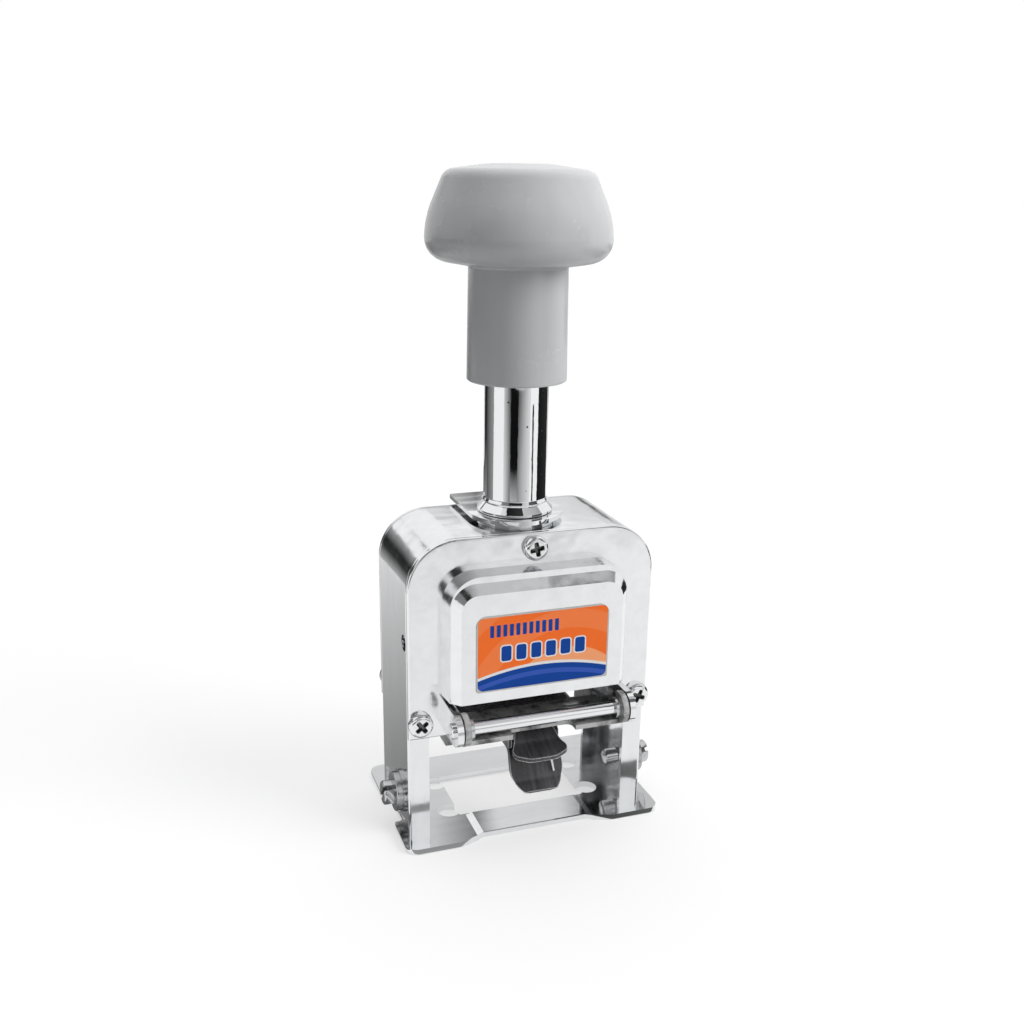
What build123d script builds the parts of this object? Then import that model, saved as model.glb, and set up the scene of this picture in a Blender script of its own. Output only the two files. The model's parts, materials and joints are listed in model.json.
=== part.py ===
"""Hand numbering machine with six number wheels and a swinging ink pad.

Frame: origin on the underside of the base, below the middle of the housing.
X runs to the right seen from the front, Y to the back and Z up. Lengths are in millimetres.
"""
import math
import os

from build123d import *

# ---- Clearances, and how far a cutter runs past what it cuts ----
over = 1.0
running_clearance = 0.05
slide_gap = 0.1
plate_gap = 0.5

# ---- Housing: bent arch and its two covers ----
frame_width = 62.0
frame_depth = 26.6
frame_top = 76.3
frame_corner = 11.9
frame_sheet = 1.2
flange_width = 5.3
edge_round = 0.7
cover_sheet = 1.2
cover_edge_round = 0.5
cover_skirt = 1.8
side_hole_radius = 2.0
side_hole_inset = 2.7
side_hole_z = 50.8
tenon_width = 3.6
tenon_inset = 2.9
tenon_end_gap = 0.2
relief_height = 4.0
relief_width = 0.35
relief_inset = 0.6

# ---- Base plate ----
base_overhang = 2.3
base_front_reach = 8.1
base_back_reach = 8.3
base_sheet = 1.5
base_corner = 3.0
base_setback = 2.1
base_setback_round = 4.0
base_rise = 0.45
base_rise_half = 13.7
base_rise_slope = 1.7
base_strip_margin = 0.5
setback_gap = 0.3
setback_run = 6.0
opening_front_inset = 3.9
opening_back_inset = 3.0
opening_side_inset = 14.2
lobe_radius = 2.9
lobe_reach = 2.0
lobe_front_inset = 2.8
lobe_back_inset = 3.0
edge_notch_margin = 0.2
edge_notch_tenon_gap = 1.1
edge_notch_round = 0.8

# ---- Pressed box of the front cover ----
box_side_inset = 8.1
box_top_inset = 7.5
box_ear_gap = 1.3
box_corner = 7.5
box_step_depth = 5.1
box_draft = 0.6
box_top_draft = 0.2
box_ledge = 1.5
box_face_rise = 2.0
box_bevel = 1.9
box_side_margin = 2.2
box_face_corner = 4.2

# ---- Label plate ----
label_side_margin = 3.5
label_bottom_margin = 2.8
label_top_margin = 5.3
label_corner = 2.5
label_lower_corner = 0.6
label_sheet = 0.2

# ---- Window of the back cover ----
window_side_inset = 12.0
window_top_inset = 8.8
window_corner = 9.0

# ---- Screws and studs ----
screw_radius = 1.25
screw_head_radius = 3.0
screw_head_height = 2.0
screw_head_round = 1.1
screw_inset = 3.5
lower_screw_inset = 2.8
lower_screw_rise = 4.1
stud_y = -6.0
stud_z = 9.3
stud_radius = 2.0
stud_disc_radius = 5.0
stud_disc_thickness = 1.6
stud_disc_round = 0.4
stud_washer_radius = 5.4
stud_washer_thickness = 0.6
stud_head_radius = 3.0
stud_head_length = 2.7
stud_head_chamfer = 0.3
stud_nut_flats = 7.0
stud_nut_length = 2.4

# ---- Neck, guide tube, knob and stem ----
stroke = 28.0
tube_radius = 7.7
tube_wall = 1.0
tube_flare = 0.4
tube_flare_rise = 0.5
tube_flare_height = 1.3
tube_edge_round = 0.3
neck_radius = 7.0
neck_bore = 4.8
cone_flange = 1.5
cone_height = 2.3
cone_rim = 0.7
cone_rim_round = 0.3
neck_nut_flats = 17.0
neck_nut_height = 3.0
stem_radius = 2.5
stem_thread_radius = 2.0
stem_thread_end = 0.6
knob_down_gap = 1.4
knob_overlap = 8.0
knob_travel_gap = 0.6
knob_roof = 12.1
knob_skirt_wall = 3.8
knob_skirt_taper = 0.3
knob_lip_round = 0.5
knob_head_radius = 21.3
knob_head_height = 22.4
knob_under_rise = 1.8
knob_rim_round = 5.4
knob_rim_swell = 0.7
knob_waist_rise = 10.9
knob_side_round = 22.0
knob_shoulder_inset = 4.3
knob_shoulder_drop = 1.4
knob_shoulder_round = 3.5
knob_crown_radius = 7.1
knob_crown_round = 30.0
knob_bore_round = 0.3
knob_neck_round = 0.4
insert_wall = 2.0
insert_length = 8.0
seat_gap = 0.3
seat_thickness = 1.0
spring_tube_gap = 0.65
spring_wire = 0.55
spring_turns = 10
spring_end_gap = 0.25
collar_bore_gap = 0.3
collar_thickness = 1.5
collar_chamfer = 0.3

# ---- Latch plate under the neck flange ----
latch_sheet = 1.0
latch_half_width = 11.6
latch_back = 17.5
latch_travel = 2.4
latch_gap = 0.1
latch_tongue_half_width = 2.8
latch_tongue_gap = 0.8
latch_corner = 0.8
latch_slot_gap = 0.3
washer_radius = 9.5
washer_thickness = 0.8

# ---- Carriage: bridge, bracket and dial ----
bridge_sheet = 1.5
bridge_headroom = 1.6
bridge_corner = 6.0
bridge_depth = 16.0
guide_length = 20.5
guide_gap = 0.5
guide_side_gap = 0.6
bracket_sheet = 1.2
bracket_front = -9.0
bracket_back = 7.2
bracket_radius = 8.9
bridge_nut_flats = 7.0
bridge_nut_height = 3.0
dial_sheet = 0.8
dial_top_margin = 2.2
dial_corner = 2.0
selector_drop = 4.3
selector_hub = 2.6
selector_length = 8.0
selector_sheet = 0.9
selector_button_radius = 1.4
selector_button_length = 3.0
selector_button_drop = 5.2
selector_rivet_radius = 1.0
selector_rivet_head = 2.0
selector_rivet_rise = 0.8
selector_round = 0.5

# ---- Number wheels on their shaft ----
wheel_count = 6
spacer_length = 5.0
wheel_radius = 11.0
wheel_gap = 0.4
wheel_faces = 10
ratchet_width = 1.0
type_face = 5.2
type_height = 2.2
ratchet_step = 0.6
ratchet_depth = 1.3
ratchet_back_angle = 7.0
paper_gap = 0.1
shaft_radius = 2.2
shaft_chamfer = 0.3
shaft_end_gap = 0.6
spacer_radius = 4.0
spacer_gap = 0.2
shaft_nut_radius = 3.7
shaft_nut_length = 1.9

# ---- Pawl rocker, its comb and the detent comb ----
rocker_sheet = 1.2
rocker_hub = 4.2
rocker_arm_angle = 18.0
bar_gap = 0.4
bar_sheet = 0.8
bar_start_angle = 17.0
bar_end_angle = 43.0
comb_sheet = 0.6
comb_margin = 0.6
comb_turn_angle = 1.0
finger_width = 0.7
finger_tip_gap = 0.3
finger_angle = 4.0
detent_start_angle = 112.0
detent_end_angle = 136.0
pawl_screw_radius = 0.6
pawl_screw_head = 1.2
pawl_screw_head_height = 0.4
drive_droop_angle = 17.0
drive_length = 7.0
drive_half_width = 1.6
drive_hub = 3.4
drive_sheet = 1.4
drive_bite = 1.2
rocker_spring_radius = 3.0
rocker_spring_wire = 0.4
rocker_spring_turns = 3
rocker_spring_leg = 7.0
rocker_spring_rise_angle = 8.0

# ---- Ink arm on its rod ----
rod_reach = 8.7
rod_rise = 5.0
rod_radius = 1.6
rod_end_radius = 1.9
rod_end_height = 0.8
ear_radius = 3.9
ear_inset = 0.4
ear_sheet = 1.5
arm_gap = 0.4
arm_sheet = 1.4
arm_nose = 0.7
arm_knee_y = -15.0
arm_knee_rise = 1.7
arm_back = 4.0
arm_back_height = 4.9
arm_back_corner = 1.0
arm_back_bevel = 1.5
arm_low_corner = 0.6
arm_bend_y = -10.0
arm_bend_round = 2.0
web_sheet = 1.2
web_pad_gap = 0.9
web_nose = 0.8
web_back = -9.5
web_corner = 1.5
web_notch_half_width = 8.0
web_notch_depth = 3.4
web_notch_round = 1.5
web_slot_x = 11.6
web_slot_length = 4.5
web_slot_width = 1.5
web_slot_y = -12.5
bush_wall = 1.0
bush_length = 1.2
lip_front = -8.0
lip_sheet = 0.8
lip_width = 3.7

# ---- Ink pad and its tray ----
pad_gap = 0.4
pad_thickness = 4.2
pad_margin = 0.2
pad_round = 0.5
tray_sheet = 0.8
tray_front = -7.2
tray_back = 6.0
tray_wall_height = 3.6
tray_corner = 2.0
tray_ledge_back = 3.0
tray_tongue_length = 4.3
tray_tongue_half_width = 4.4
tray_rivet_x = 2.4
rivet_radius = 0.7
rivet_head_radius = 1.2
rivet_head_height = 0.4

# ---- Pinch grips at the front of the tray ----
grip_sheet = 1.0
grip_root_length = 0.8
lower_bend_y = -16.3
lower_knee_y = -19.6
lower_knee_rise = 2.7
lower_tip_y = -22.2
lower_grip_bend = 3.0
lower_grip_drop = 10.8
lower_grip_half_width = 7.1
lower_grip_taper = 0.6
lower_grip_corner = 5.4
cheek_half_width = 6.6
cheek_back = -11.0
cheek_front = -16.4
cheek_drop = 1.0
cheek_shoulder_drop = 1.4
cheek_top_length = 1.2
cheek_corner = 1.0
cheek_shoulder_round = 0.6
wing_reach = 5.9
wing_gap = 0.6
wing_height = 3.6
wing_neck_width = 1.6
wing_slope = 3.0
wing_round = 0.4
upper_grip_gap = 1.0
upper_grip_back = -10.5
upper_bend_y = -15.4
upper_knee_y = -18.8
upper_knee_drop = 3.6
upper_tip_y = -24.2
upper_tip_drop = 5.0
upper_grip_bend = 2.5
upper_root_half_width = 4.6
upper_grip_half_width = 7.6
grip_flare_y = -16.0
grip_flare_round = 2.0
grip_corner_y = -22.0
grip_tip_half_width = 3.2
grip_tip_round = 5.0
pin_y = -13.2
pin_drop = 2.7
pin_radius = 0.8
knuckle_radius = 1.6
knuckle_sheet = 1.0
knuckle_seat = 0.2
clip_wire = 0.3
clip_turns = 4
clip_end_gap = 1.2
clip_lead = 1.6
clip_knee_reach = 6.0
clip_knee_drop = 3.7
clip_spread = 0.9
clip_bend = 1.0
clip_tip_rise = 4.2
clip_tip_gap = 0.05

# ---- Places across the machine, worked out from the sizes above ----
frame_half = frame_width / 2
depth_half = frame_depth / 2
flange_inner = depth_half - frame_sheet
cover_face = depth_half + cover_sheet
base_half = frame_half + base_overhang
base_front = -depth_half - base_front_reach
base_back = depth_half + base_back_reach
opening_front = -depth_half + opening_front_inset
opening_back = depth_half - opening_back_inset
opening_half_width = frame_half - opening_side_inset
lower_screw_x = frame_half - lower_screw_inset
box_half_width = frame_half - box_side_inset
face_half_width = box_half_width - box_draft - box_side_margin
box_front = -cover_face - box_step_depth - box_face_rise
window_half_width = frame_half - window_side_inset
ear_outer_x = box_half_width - ear_inset
ear_inner_x = ear_outer_x - ear_sheet
arm_outer_x = ear_inner_x - arm_gap
arm_inner_x = arm_outer_x - arm_sheet
lip_inner_x = arm_inner_x - lip_width
tray_half_width = lip_inner_x - slide_gap
bracket_half_width = arm_inner_x - arm_gap
bracket_inner = bracket_half_width - bracket_sheet
rocker_inner = bracket_half_width + plate_gap
rocker_outer = rocker_inner + rocker_sheet
guide_outer = frame_half - frame_sheet - guide_gap
guide_inner = guide_outer - bridge_sheet
nut_inner = guide_inner - shaft_end_gap - shaft_nut_length
drive_outer = nut_inner - 2 * running_clearance
drive_inner = drive_outer - drive_sheet
stud_tip_x = drive_outer - drive_bite
rod_y = -cover_face - rod_reach
wheel_row_half = bracket_inner - spacer_length - spacer_gap
wheel_pitch = (2 * wheel_row_half + wheel_gap) / wheel_count
wheel_width = wheel_pitch - wheel_gap
type_width = wheel_width - ratchet_width
comb_half_width = wheel_row_half + comb_margin
pawl_screw_x = 2 * wheel_pitch

# ---- Radii about the shaft and the tube's axis ----
disc_radius = wheel_radius - type_height
ratchet_tip = disc_radius - ratchet_step
ratchet_root = ratchet_tip - ratchet_depth
finger_tip = ratchet_tip + finger_tip_gap
bar_inner = wheel_radius + bar_gap
bar_outer = bar_inner + bar_sheet
comb_outer = bar_outer + comb_sheet
tube_bore = tube_radius - tube_wall
cone_base_radius = tube_radius + cone_flange
collar_radius = neck_bore - collar_bore_gap
latch_tip_y = collar_radius + latch_tongue_gap
spring_radius = tube_bore - spring_tube_gap - spring_wire
seat_radius = tube_bore - seat_gap
insert_radius = stem_radius + insert_wall
knob_bore = tube_radius + tube_flare
knob_skirt_radius = knob_bore + knob_skirt_wall

# ---- Levels, from the paper up ----
shaft_z = paper_gap + stroke + wheel_radius
pad_top = shaft_z - wheel_radius - pad_gap
tray_floor = pad_top - pad_thickness
tray_bottom = tray_floor - tray_sheet
lip_top = tray_bottom - slide_gap
lip_bottom = lip_top - lip_sheet
web_bottom = pad_top + web_pad_gap
web_top = web_bottom + web_sheet
rod_z = pad_top + rod_rise
cover_bottom = rod_z - ear_radius - cover_skirt
box_bottom = rod_z + ear_radius + box_ear_gap
lower_screw_z = cover_bottom + lower_screw_rise
upper_grip_top = web_bottom - upper_grip_gap
pin_z = upper_grip_top - pin_drop
cheek_top = upper_grip_top - cheek_drop
cheek_shoulder = cheek_top - cheek_shoulder_drop
wing_top = web_bottom - wing_gap
wing_bottom = wing_top - wing_height
lower_grip_tip = tray_bottom - lower_grip_drop
lower_knee_z = lower_grip_tip + lower_knee_rise
box_top = frame_top - box_top_inset
face_top = box_top - box_top_draft - box_ledge - box_side_margin
label_top = face_top - label_top_margin
label_bottom = box_bottom + label_bottom_margin
window_top = frame_top - window_top_inset
screw_z = frame_top - screw_inset
frame_ceiling = frame_top - frame_sheet
bridge_top = frame_ceiling - neck_nut_height - bridge_headroom
bridge_bottom = bridge_top - bridge_sheet
bracket_top = bridge_bottom
guide_bottom = bridge_top - guide_length
dial_top = bracket_top - dial_top_margin
dial_bottom = shaft_z + comb_outer + slide_gap
selector_z = dial_top - selector_drop
washer_top = frame_top + washer_thickness
latch_z = washer_top + latch_gap
cone_bottom = latch_z + latch_sheet + latch_gap
cone_top = cone_bottom + cone_height
knob_bottom = cone_top + stroke + knob_down_gap
tube_top = knob_bottom + knob_overlap
knob_ceiling = tube_top + stroke + knob_travel_gap
knob_top = knob_ceiling + knob_roof
knob_neck_top = knob_top - knob_head_height


# ---- Shapes that several pieces use ----
def outline(*corners):
    """A closed flat outline whose corners are (x, y, radius)."""
    face = make_face(Polyline(*[(x, y) for x, y, _ in corners], close=True))
    for x, y, radius in corners:
        if radius > 0:
            corner = face.vertices().sort_by_distance((x, y, 0))[0]
            face = fillet(corner, radius)
    return face


def front_plate(flat, y_front, y_back):
    """An (x, z) outline made into a plate between two Y planes."""
    return extrude(Plane.XZ.offset(-y_back) * flat, amount=y_back - y_front)


def side_plate(flat, x_low, x_high):
    """A (y, z) outline made into a plate between two X planes."""
    return extrude(Plane.YZ.offset(x_low) * flat, amount=x_high - x_low)


def flat_plate(flat, z_low, z_high):
    """An (x, y) outline made into a plate between two Z planes."""
    return extrude(Plane.XY.offset(z_low) * flat, amount=z_high - z_low)


def rod_x(radius, x_low, x_high, y, z):
    return side_plate(Pos(y, z) * Circle(radius), x_low, x_high)


def rod_y_way(radius, y_low, y_high, x, z):
    return front_plate(Pos(x, z) * Circle(radius), y_low, y_high)


def rod_z_way(radius, z_low, z_high, x=0.0, y=0.0):
    return flat_plate(Pos(x, y) * Circle(radius), z_low, z_high)


def block(x_low, x_high, y_low, y_high, z_low, z_high):
    middle = Pos((x_low + x_high) / 2, (y_low + y_high) / 2)
    return flat_plate(middle * Rectangle(x_high - x_low, y_high - y_low), z_low, z_high)


def turned(*corners):
    """A body turned about Z from a profile of (radius, z, corner radius)."""
    return revolve(Plane.XZ * outline(*corners), Axis.Z)


def hexagon(flats):
    return RegularPolygon(flats / 2, 6, major_radius=False)


def ring_sector(inner, outer, start, end):
    """A flat ring sector about the origin, with angles in degrees."""
    outer_arc = CenterArc((0, 0), outer, start, end - start)
    inner_arc = CenterArc((0, 0), inner, start, end - start)
    ends = Line(inner_arc @ 0, outer_arc @ 0) + Line(inner_arc @ 1, outer_arc @ 1)
    return make_face(outer_arc + inner_arc + ends)


def at_shaft(flat):
    return Pos(0, shaft_z) * flat


def both_sides(piece):
    """The piece and its mirror image across the middle plane X = 0."""
    return Compound(children=[piece, mirror(piece, about=Plane.YZ)])


def as_one(*pieces):
    return Compound(children=list(pieces))


def coil(radius, wire, turns, length):
    """A round wire wound about Z from z = 0 up to its length."""
    path = Helix(pitch=length / turns, height=length, radius=radius)
    section = Plane(origin=path @ 0, z_dir=path % 0) * Circle(wire)
    return sweep(section, path=path, is_frenet=True)


def wire_through(points, radius, bend):
    """A bent round wire through the points, with equal bends."""
    path = FilletPolyline(*points, radius=bend)
    section = Plane(origin=path @ 0, z_dir=path % 0) * Circle(radius)
    return sweep(section, path=path)


def wheel_x(index):
    return (index - (wheel_count - 1) / 2) * wheel_pitch


def ratchet_x(index):
    """Left end of the ratchet step of one number wheel."""
    return wheel_x(index) + type_width / 2 - ratchet_width / 2


# ---- Housing ----
def arch(inset, bottom):
    """The housing's arch, set in evenly from its outside."""
    half = frame_half - inset
    top = frame_top - inset
    corner = frame_corner - inset
    return outline((-half, bottom, 0), (half, bottom, 0), (half, top, corner), (-half, top, corner))


def cover_screw_places():
    return [(0.0, screw_z), (-lower_screw_x, lower_screw_z), (lower_screw_x, lower_screw_z)]


def make_main_frame():
    wall = arch(0, base_sheet) - arch(frame_sheet, base_sheet)
    flange = arch(0, base_sheet) - arch(flange_width, base_sheet)
    body = front_plate(wall, -depth_half, depth_half)
    for side in (-1, 1):
        y_pair = sorted((side * depth_half, side * flange_inner))
        body += front_plate(flange, *y_pair)
    rims = body.edges().filter_by(
        lambda e: abs(abs(e.center().Y) - depth_half) < 0.01
        and (abs(abs(e.center().X) - frame_half) < frame_corner / 2 or e.center().Z > frame_ceiling - 3)
        and max(abs(e.center().X) - (frame_half - 0.01), e.center().Z - (frame_top - 0.01),
                0.5 if e.geom_type == GeomType.CIRCLE and e.radius > frame_corner - 0.1 else -1) > 0)
    body = fillet(rims, edge_round)
    for x, z in cover_screw_places():
        body -= rod_y_way(screw_radius, -depth_half, depth_half, x, z)
    body -= rod_z_way(neck_radius, frame_ceiling - over, frame_top + over)
    body -= rod_x(side_hole_radius, -frame_half - over, -frame_half + frame_sheet,
                  side_hole_inset - depth_half, side_hole_z)
    body -= rod_x(stud_radius, -frame_half - over, frame_half + over, stud_y, stud_z)
    for x_side in (-1, 1):
        slit_x = x_side * (frame_half - relief_inset)
        x_pair = sorted((x_side * frame_half, x_side * (frame_half - frame_sheet)))
        for y_side in (-1, 1):
            y_pair = sorted((y_side * (depth_half + over), y_side * flange_inner))
            body -= block(slit_x - relief_width / 2, slit_x + relief_width / 2, *y_pair,
                          base_sheet - over, base_sheet + relief_height)
            middle = y_side * (depth_half - tenon_inset)
            body += block(*x_pair, middle - tenon_width / 2, middle + tenon_width / 2,
                          tenon_end_gap, base_sheet)
    return body


def make_base_plate():
    half = base_half
    rise_half = base_rise_half
    slope = base_rise_slope
    setback_inner = rise_half + setback_gap
    setback_outer = setback_inner + setback_run
    notch_x = frame_half + edge_notch_margin
    edge = depth_half - tenon_inset - tenon_width / 2 - edge_notch_tenon_gap
    soft = edge_notch_round
    front = base_front + base_setback
    right = [(setback_inner, front, base_setback_round), (setback_outer, base_front, base_setback_round),
             (half, base_front, base_corner),
             (half, -edge, soft), (notch_x, -edge, soft), (notch_x, edge, soft), (half, edge, soft),
             (half, base_back, base_corner)]
    left = [(-x, y, radius) for x, y, radius in reversed(right)]
    plan = outline(*right, *left)
    hole_y = (opening_front + opening_back) / 2
    hole = Pos(0, hole_y) * Rectangle(2 * opening_half_width, opening_back - opening_front)
    for x_side in (-1, 1):
        for y in (opening_front + lobe_front_inset, opening_back - lobe_back_inset):
            hole += Pos(x_side * (opening_half_width + lobe_reach), y) * Circle(lobe_radius)
    plan -= hole
    flat = flat_plate(plan, 0, base_sheet)
    strip_joint = opening_front - base_strip_margin
    back_part = flat & block(-half, half, strip_joint, base_back, 0, base_sheet)
    step = outline((-half, 0, 0), (-rise_half - slope, 0, 0),
                   (-rise_half, base_rise, 0), (rise_half, base_rise, 0),
                   (rise_half + slope, 0, 0), (half, 0, 0), (half, base_sheet, 0),
                   (rise_half + slope, base_sheet, 0), (rise_half, base_sheet + base_rise, 0),
                   (-rise_half, base_sheet + base_rise, 0), (-rise_half - slope, base_sheet, 0),
                   (-half, base_sheet, 0))
    strip = front_plate(step, base_front, strip_joint) & flat_plate(plan, 0, base_sheet + base_rise)
    plate = strip + back_part
    for x_side in (-1, 1):
        x_pair = sorted((x_side * (frame_half + running_clearance),
                         x_side * (frame_half - frame_sheet - running_clearance)))
        for y_side in (-1, 1):
            middle = y_side * (depth_half - tenon_inset)
            reach = tenon_width / 2 + running_clearance
            plate -= block(*x_pair, middle - reach, middle + reach, -over, base_sheet + over)
    return plate


def box_outline(half_width, top, corner, bottom):
    return outline((-half_width, bottom, 0), (half_width, bottom, 0),
                   (half_width, top, corner), (-half_width, top, corner))


def pressed_box(inset, back):
    """The box's outer form, or its hollow when set in by the sheet; open at the bottom."""
    bottom = box_bottom - (over if inset else 0)
    crest = -cover_face - box_step_depth + inset
    face = crest - box_face_rise
    root_half = box_half_width - inset
    crest_half = root_half - box_draft
    face_half = crest_half - box_side_margin
    ledge_half = face_half + box_bevel
    crest_top = box_top - inset - box_top_draft
    ledge_top = crest_top - box_ledge
    wall = loft([Plane.XZ.offset(-back) * box_outline(root_half, box_top - inset, box_corner - inset, bottom),
                 Plane.XZ.offset(-crest) * box_outline(crest_half, crest_top, box_corner - inset, bottom)])
    bevel = loft([Plane.XZ.offset(-crest) * box_outline(ledge_half, ledge_top, box_corner - box_ledge, bottom),
                  Plane.XZ.offset(-face) * box_outline(face_half, face_top - inset, box_face_corner, bottom)])
    return wall + bevel


def ear_outline(reach_back):
    """Round-ended lug about the ink rod, running back to a given Y."""
    top = rod_z + ear_radius
    low = rod_z - ear_radius
    bar = outline((rod_y, low, 0), (reach_back, low, 0), (reach_back, top, 0), (rod_y, top, 0))
    return bar + Pos(rod_y, rod_z) * Circle(ear_radius)


def make_front_cover():
    plan = arch(0, cover_bottom)
    low = cover_bottom - over
    mouth = outline((-ear_inner_x, low, 0), (ear_inner_x, low, 0),
                    (ear_inner_x, box_bottom, 0), (-ear_inner_x, box_bottom, 0))
    cover = front_plate(plan - mouth, -cover_face, -depth_half)
    rim = cover.faces().sort_by(Axis.Y)[0].outer_wire().edges()
    rim = rim.filter_by(lambda e: abs(e.center().X) > ear_outer_x or e.center().Z > box_top)
    cover = fillet(rim, cover_edge_round)
    cover += pressed_box(0, -depth_half)
    cover -= pressed_box(cover_sheet, -depth_half + over)
    cover -= block(-box_half_width, box_half_width, box_front - over, -cover_face, cover_bottom, box_bottom)
    ear = side_plate(ear_outline(-depth_half), ear_inner_x, ear_outer_x)
    for lug in (ear, mirror(ear, about=Plane.YZ)):
        cover += lug
    cover -= rod_x(rod_radius, -ear_outer_x - over, ear_outer_x + over, rod_y, rod_z)
    for x, z in cover_screw_places():
        cover -= rod_y_way(screw_radius, -cover_face - over, 0, x, z)
    return cover


def make_back_cover():
    plan = arch(0, cover_bottom)
    low = cover_bottom - over
    window = outline((-window_half_width, low, 0), (window_half_width, low, 0),
                     (window_half_width, window_top, window_corner),
                     (-window_half_width, window_top, window_corner))
    cover = front_plate(plan - window, depth_half, cover_face)
    rim = cover.faces().sort_by(Axis.Y)[-1].outer_wire().edges()
    clear_of_window = (window_half_width + frame_half) / 2
    rim = rim.filter_by(lambda e: abs(e.center().X) > clear_of_window or e.center().Z > window_top + over)
    cover = fillet(rim, cover_edge_round)
    for x, z in cover_screw_places():
        cover -= rod_y_way(screw_radius, 0, cover_face + over, x, z)
    return cover


def pan_screw():
    """Screw along Z with its head above z = 0 and its shank below."""
    grip = cover_sheet + frame_sheet
    return turned((0, -grip, 0), (screw_radius, -grip, 0), (screw_radius, 0, 0), (screw_head_radius, 0, 0),
                  (screw_head_radius, screw_head_height, screw_head_round), (0, screw_head_height, 0))


def make_front_screws():
    return as_one(*[Pos(x, -cover_face, z) * Rot(90, 0, 0) * pan_screw() for x, z in cover_screw_places()])


def make_back_screws():
    return as_one(*[Pos(x, cover_face, z) * Rot(-90, 0, 0) * pan_screw() for x, z in cover_screw_places()])


def make_label_plate():
    half = face_half_width - label_side_margin
    plan = outline((-half, label_bottom, label_lower_corner), (half, label_bottom, label_lower_corner),
                   (half, label_top, label_corner), (-half, label_top, label_corner))
    return front_plate(plan, box_front - label_sheet, box_front)


# ---- Studs low on the side walls ----
def make_trip_studs():
    seat = frame_half + stud_washer_thickness + stud_disc_thickness
    pin = rod_x(stud_radius, stud_tip_x, seat + stud_head_length / 2, stud_y, stud_z)
    head = rod_x(stud_head_radius, seat, seat + stud_head_length, stud_y, stud_z)
    head = chamfer(head.faces().sort_by(Axis.X)[-1].edges(), stud_head_chamfer)
    return both_sides(pin + head)


def make_stud_discs():
    inner = frame_half + stud_washer_thickness
    disc = rod_x(stud_disc_radius, inner, inner + stud_disc_thickness, stud_y, stud_z)
    disc = fillet(disc.faces().sort_by(Axis.X)[-1].edges(), stud_disc_round)
    outer = inner + stud_disc_thickness
    return both_sides(disc - rod_x(stud_radius, inner - over, outer + over, stud_y, stud_z))


def make_stud_washers():
    outer = frame_half + stud_washer_thickness
    washer = rod_x(stud_washer_radius, frame_half, outer, stud_y, stud_z)
    return both_sides(washer - rod_x(stud_radius, frame_half - over, outer + over, stud_y, stud_z))


def make_stud_nuts():
    inner = frame_half - frame_sheet
    shape = Pos(stud_y, stud_z) * (hexagon(stud_nut_flats) - Circle(stud_radius))
    return both_sides(side_plate(shape, inner - stud_nut_length, inner))


# ---- Guide tube, neck and latch ----
def make_tube_collar():
    neck_bottom = frame_ceiling - neck_nut_height
    body = turned((neck_bore, neck_bottom, 0), (neck_radius, neck_bottom, 0), (neck_radius, cone_bottom, 0),
                  (cone_base_radius, cone_bottom, cone_rim_round),
                  (cone_base_radius, cone_bottom + cone_rim, 0),
                  (tube_radius, cone_top, 0), (neck_bore, cone_top, 0))
    gap = latch_tongue_half_width + 3 * latch_gap
    return body - block(-gap, gap, 0, neck_radius + over, latch_z - latch_gap, cone_bottom)


def make_guide_tube():
    return turned((tube_bore, cone_top, 0), (tube_radius, cone_top, 0),
                  (tube_radius + tube_flare, cone_top + tube_flare_rise, tube_edge_round / 2),
                  (tube_radius, cone_top + tube_flare_height, tube_flare_height / 2),
                  (tube_radius, tube_top, tube_edge_round), (tube_bore, tube_top, tube_edge_round))


def make_neck_nut():
    shape = hexagon(neck_nut_flats) - Circle(neck_radius)
    return flat_plate(shape, frame_ceiling - neck_nut_height, frame_ceiling)


def make_latch_washer():
    return flat_plate(Circle(washer_radius) - Circle(neck_radius), frame_top, washer_top)


def make_latch_plate():
    slot_radius = neck_radius + latch_slot_gap
    plan = Circle(latch_half_width) + outline((-latch_half_width, 0, 0), (latch_half_width, 0, 0),
                                              (latch_half_width, latch_back, latch_corner),
                                              (-latch_half_width, latch_back, latch_corner))
    slot = Circle(slot_radius) + Pos(0, latch_travel) * Circle(slot_radius)
    slot += Pos(0, latch_travel / 2) * Rectangle(2 * slot_radius, latch_travel)
    slot_end = latch_travel + slot_radius
    tongue = Pos(0, (latch_tip_y + slot_end + over) / 2)
    tongue *= Rectangle(2 * latch_tongue_half_width, slot_end + over - latch_tip_y)
    return flat_plate(plan - slot + tongue, latch_z, latch_z + latch_sheet)


# ---- Plunger ----
def make_knob():
    hub_top = knob_ceiling + insert_length
    return turned((0, knob_top, 0), (0, hub_top, 0),
                  (insert_radius, hub_top, 0), (insert_radius, knob_ceiling, 0),
                  (knob_bore, knob_ceiling, knob_bore_round), (knob_bore, knob_bottom, knob_bore_round),
                  (knob_skirt_radius, knob_bottom, knob_lip_round),
                  (knob_skirt_radius - knob_skirt_taper, knob_neck_top, knob_neck_round),
                  (knob_head_radius + knob_rim_swell, knob_neck_top + knob_under_rise, knob_rim_round),
                  (knob_head_radius, knob_neck_top + knob_waist_rise, knob_side_round),
                  (knob_head_radius - knob_shoulder_inset, knob_top - knob_shoulder_drop, knob_shoulder_round),
                  (knob_crown_radius, knob_top, knob_crown_round))


def make_knob_insert():
    top = knob_ceiling + insert_length
    return flat_plate(Circle(insert_radius) - Circle(stem_radius), knob_ceiling, top)


def make_stem():
    low = bracket_top - bracket_sheet - bridge_nut_height - stem_thread_end
    top = knob_ceiling + insert_length
    return turned((0, low, 0), (stem_thread_radius, low, stem_thread_end / 2),
                  (stem_thread_radius, bridge_top, 0),
                  (stem_radius, bridge_top, 0), (stem_radius, top, 0), (0, top, 0))


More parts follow.
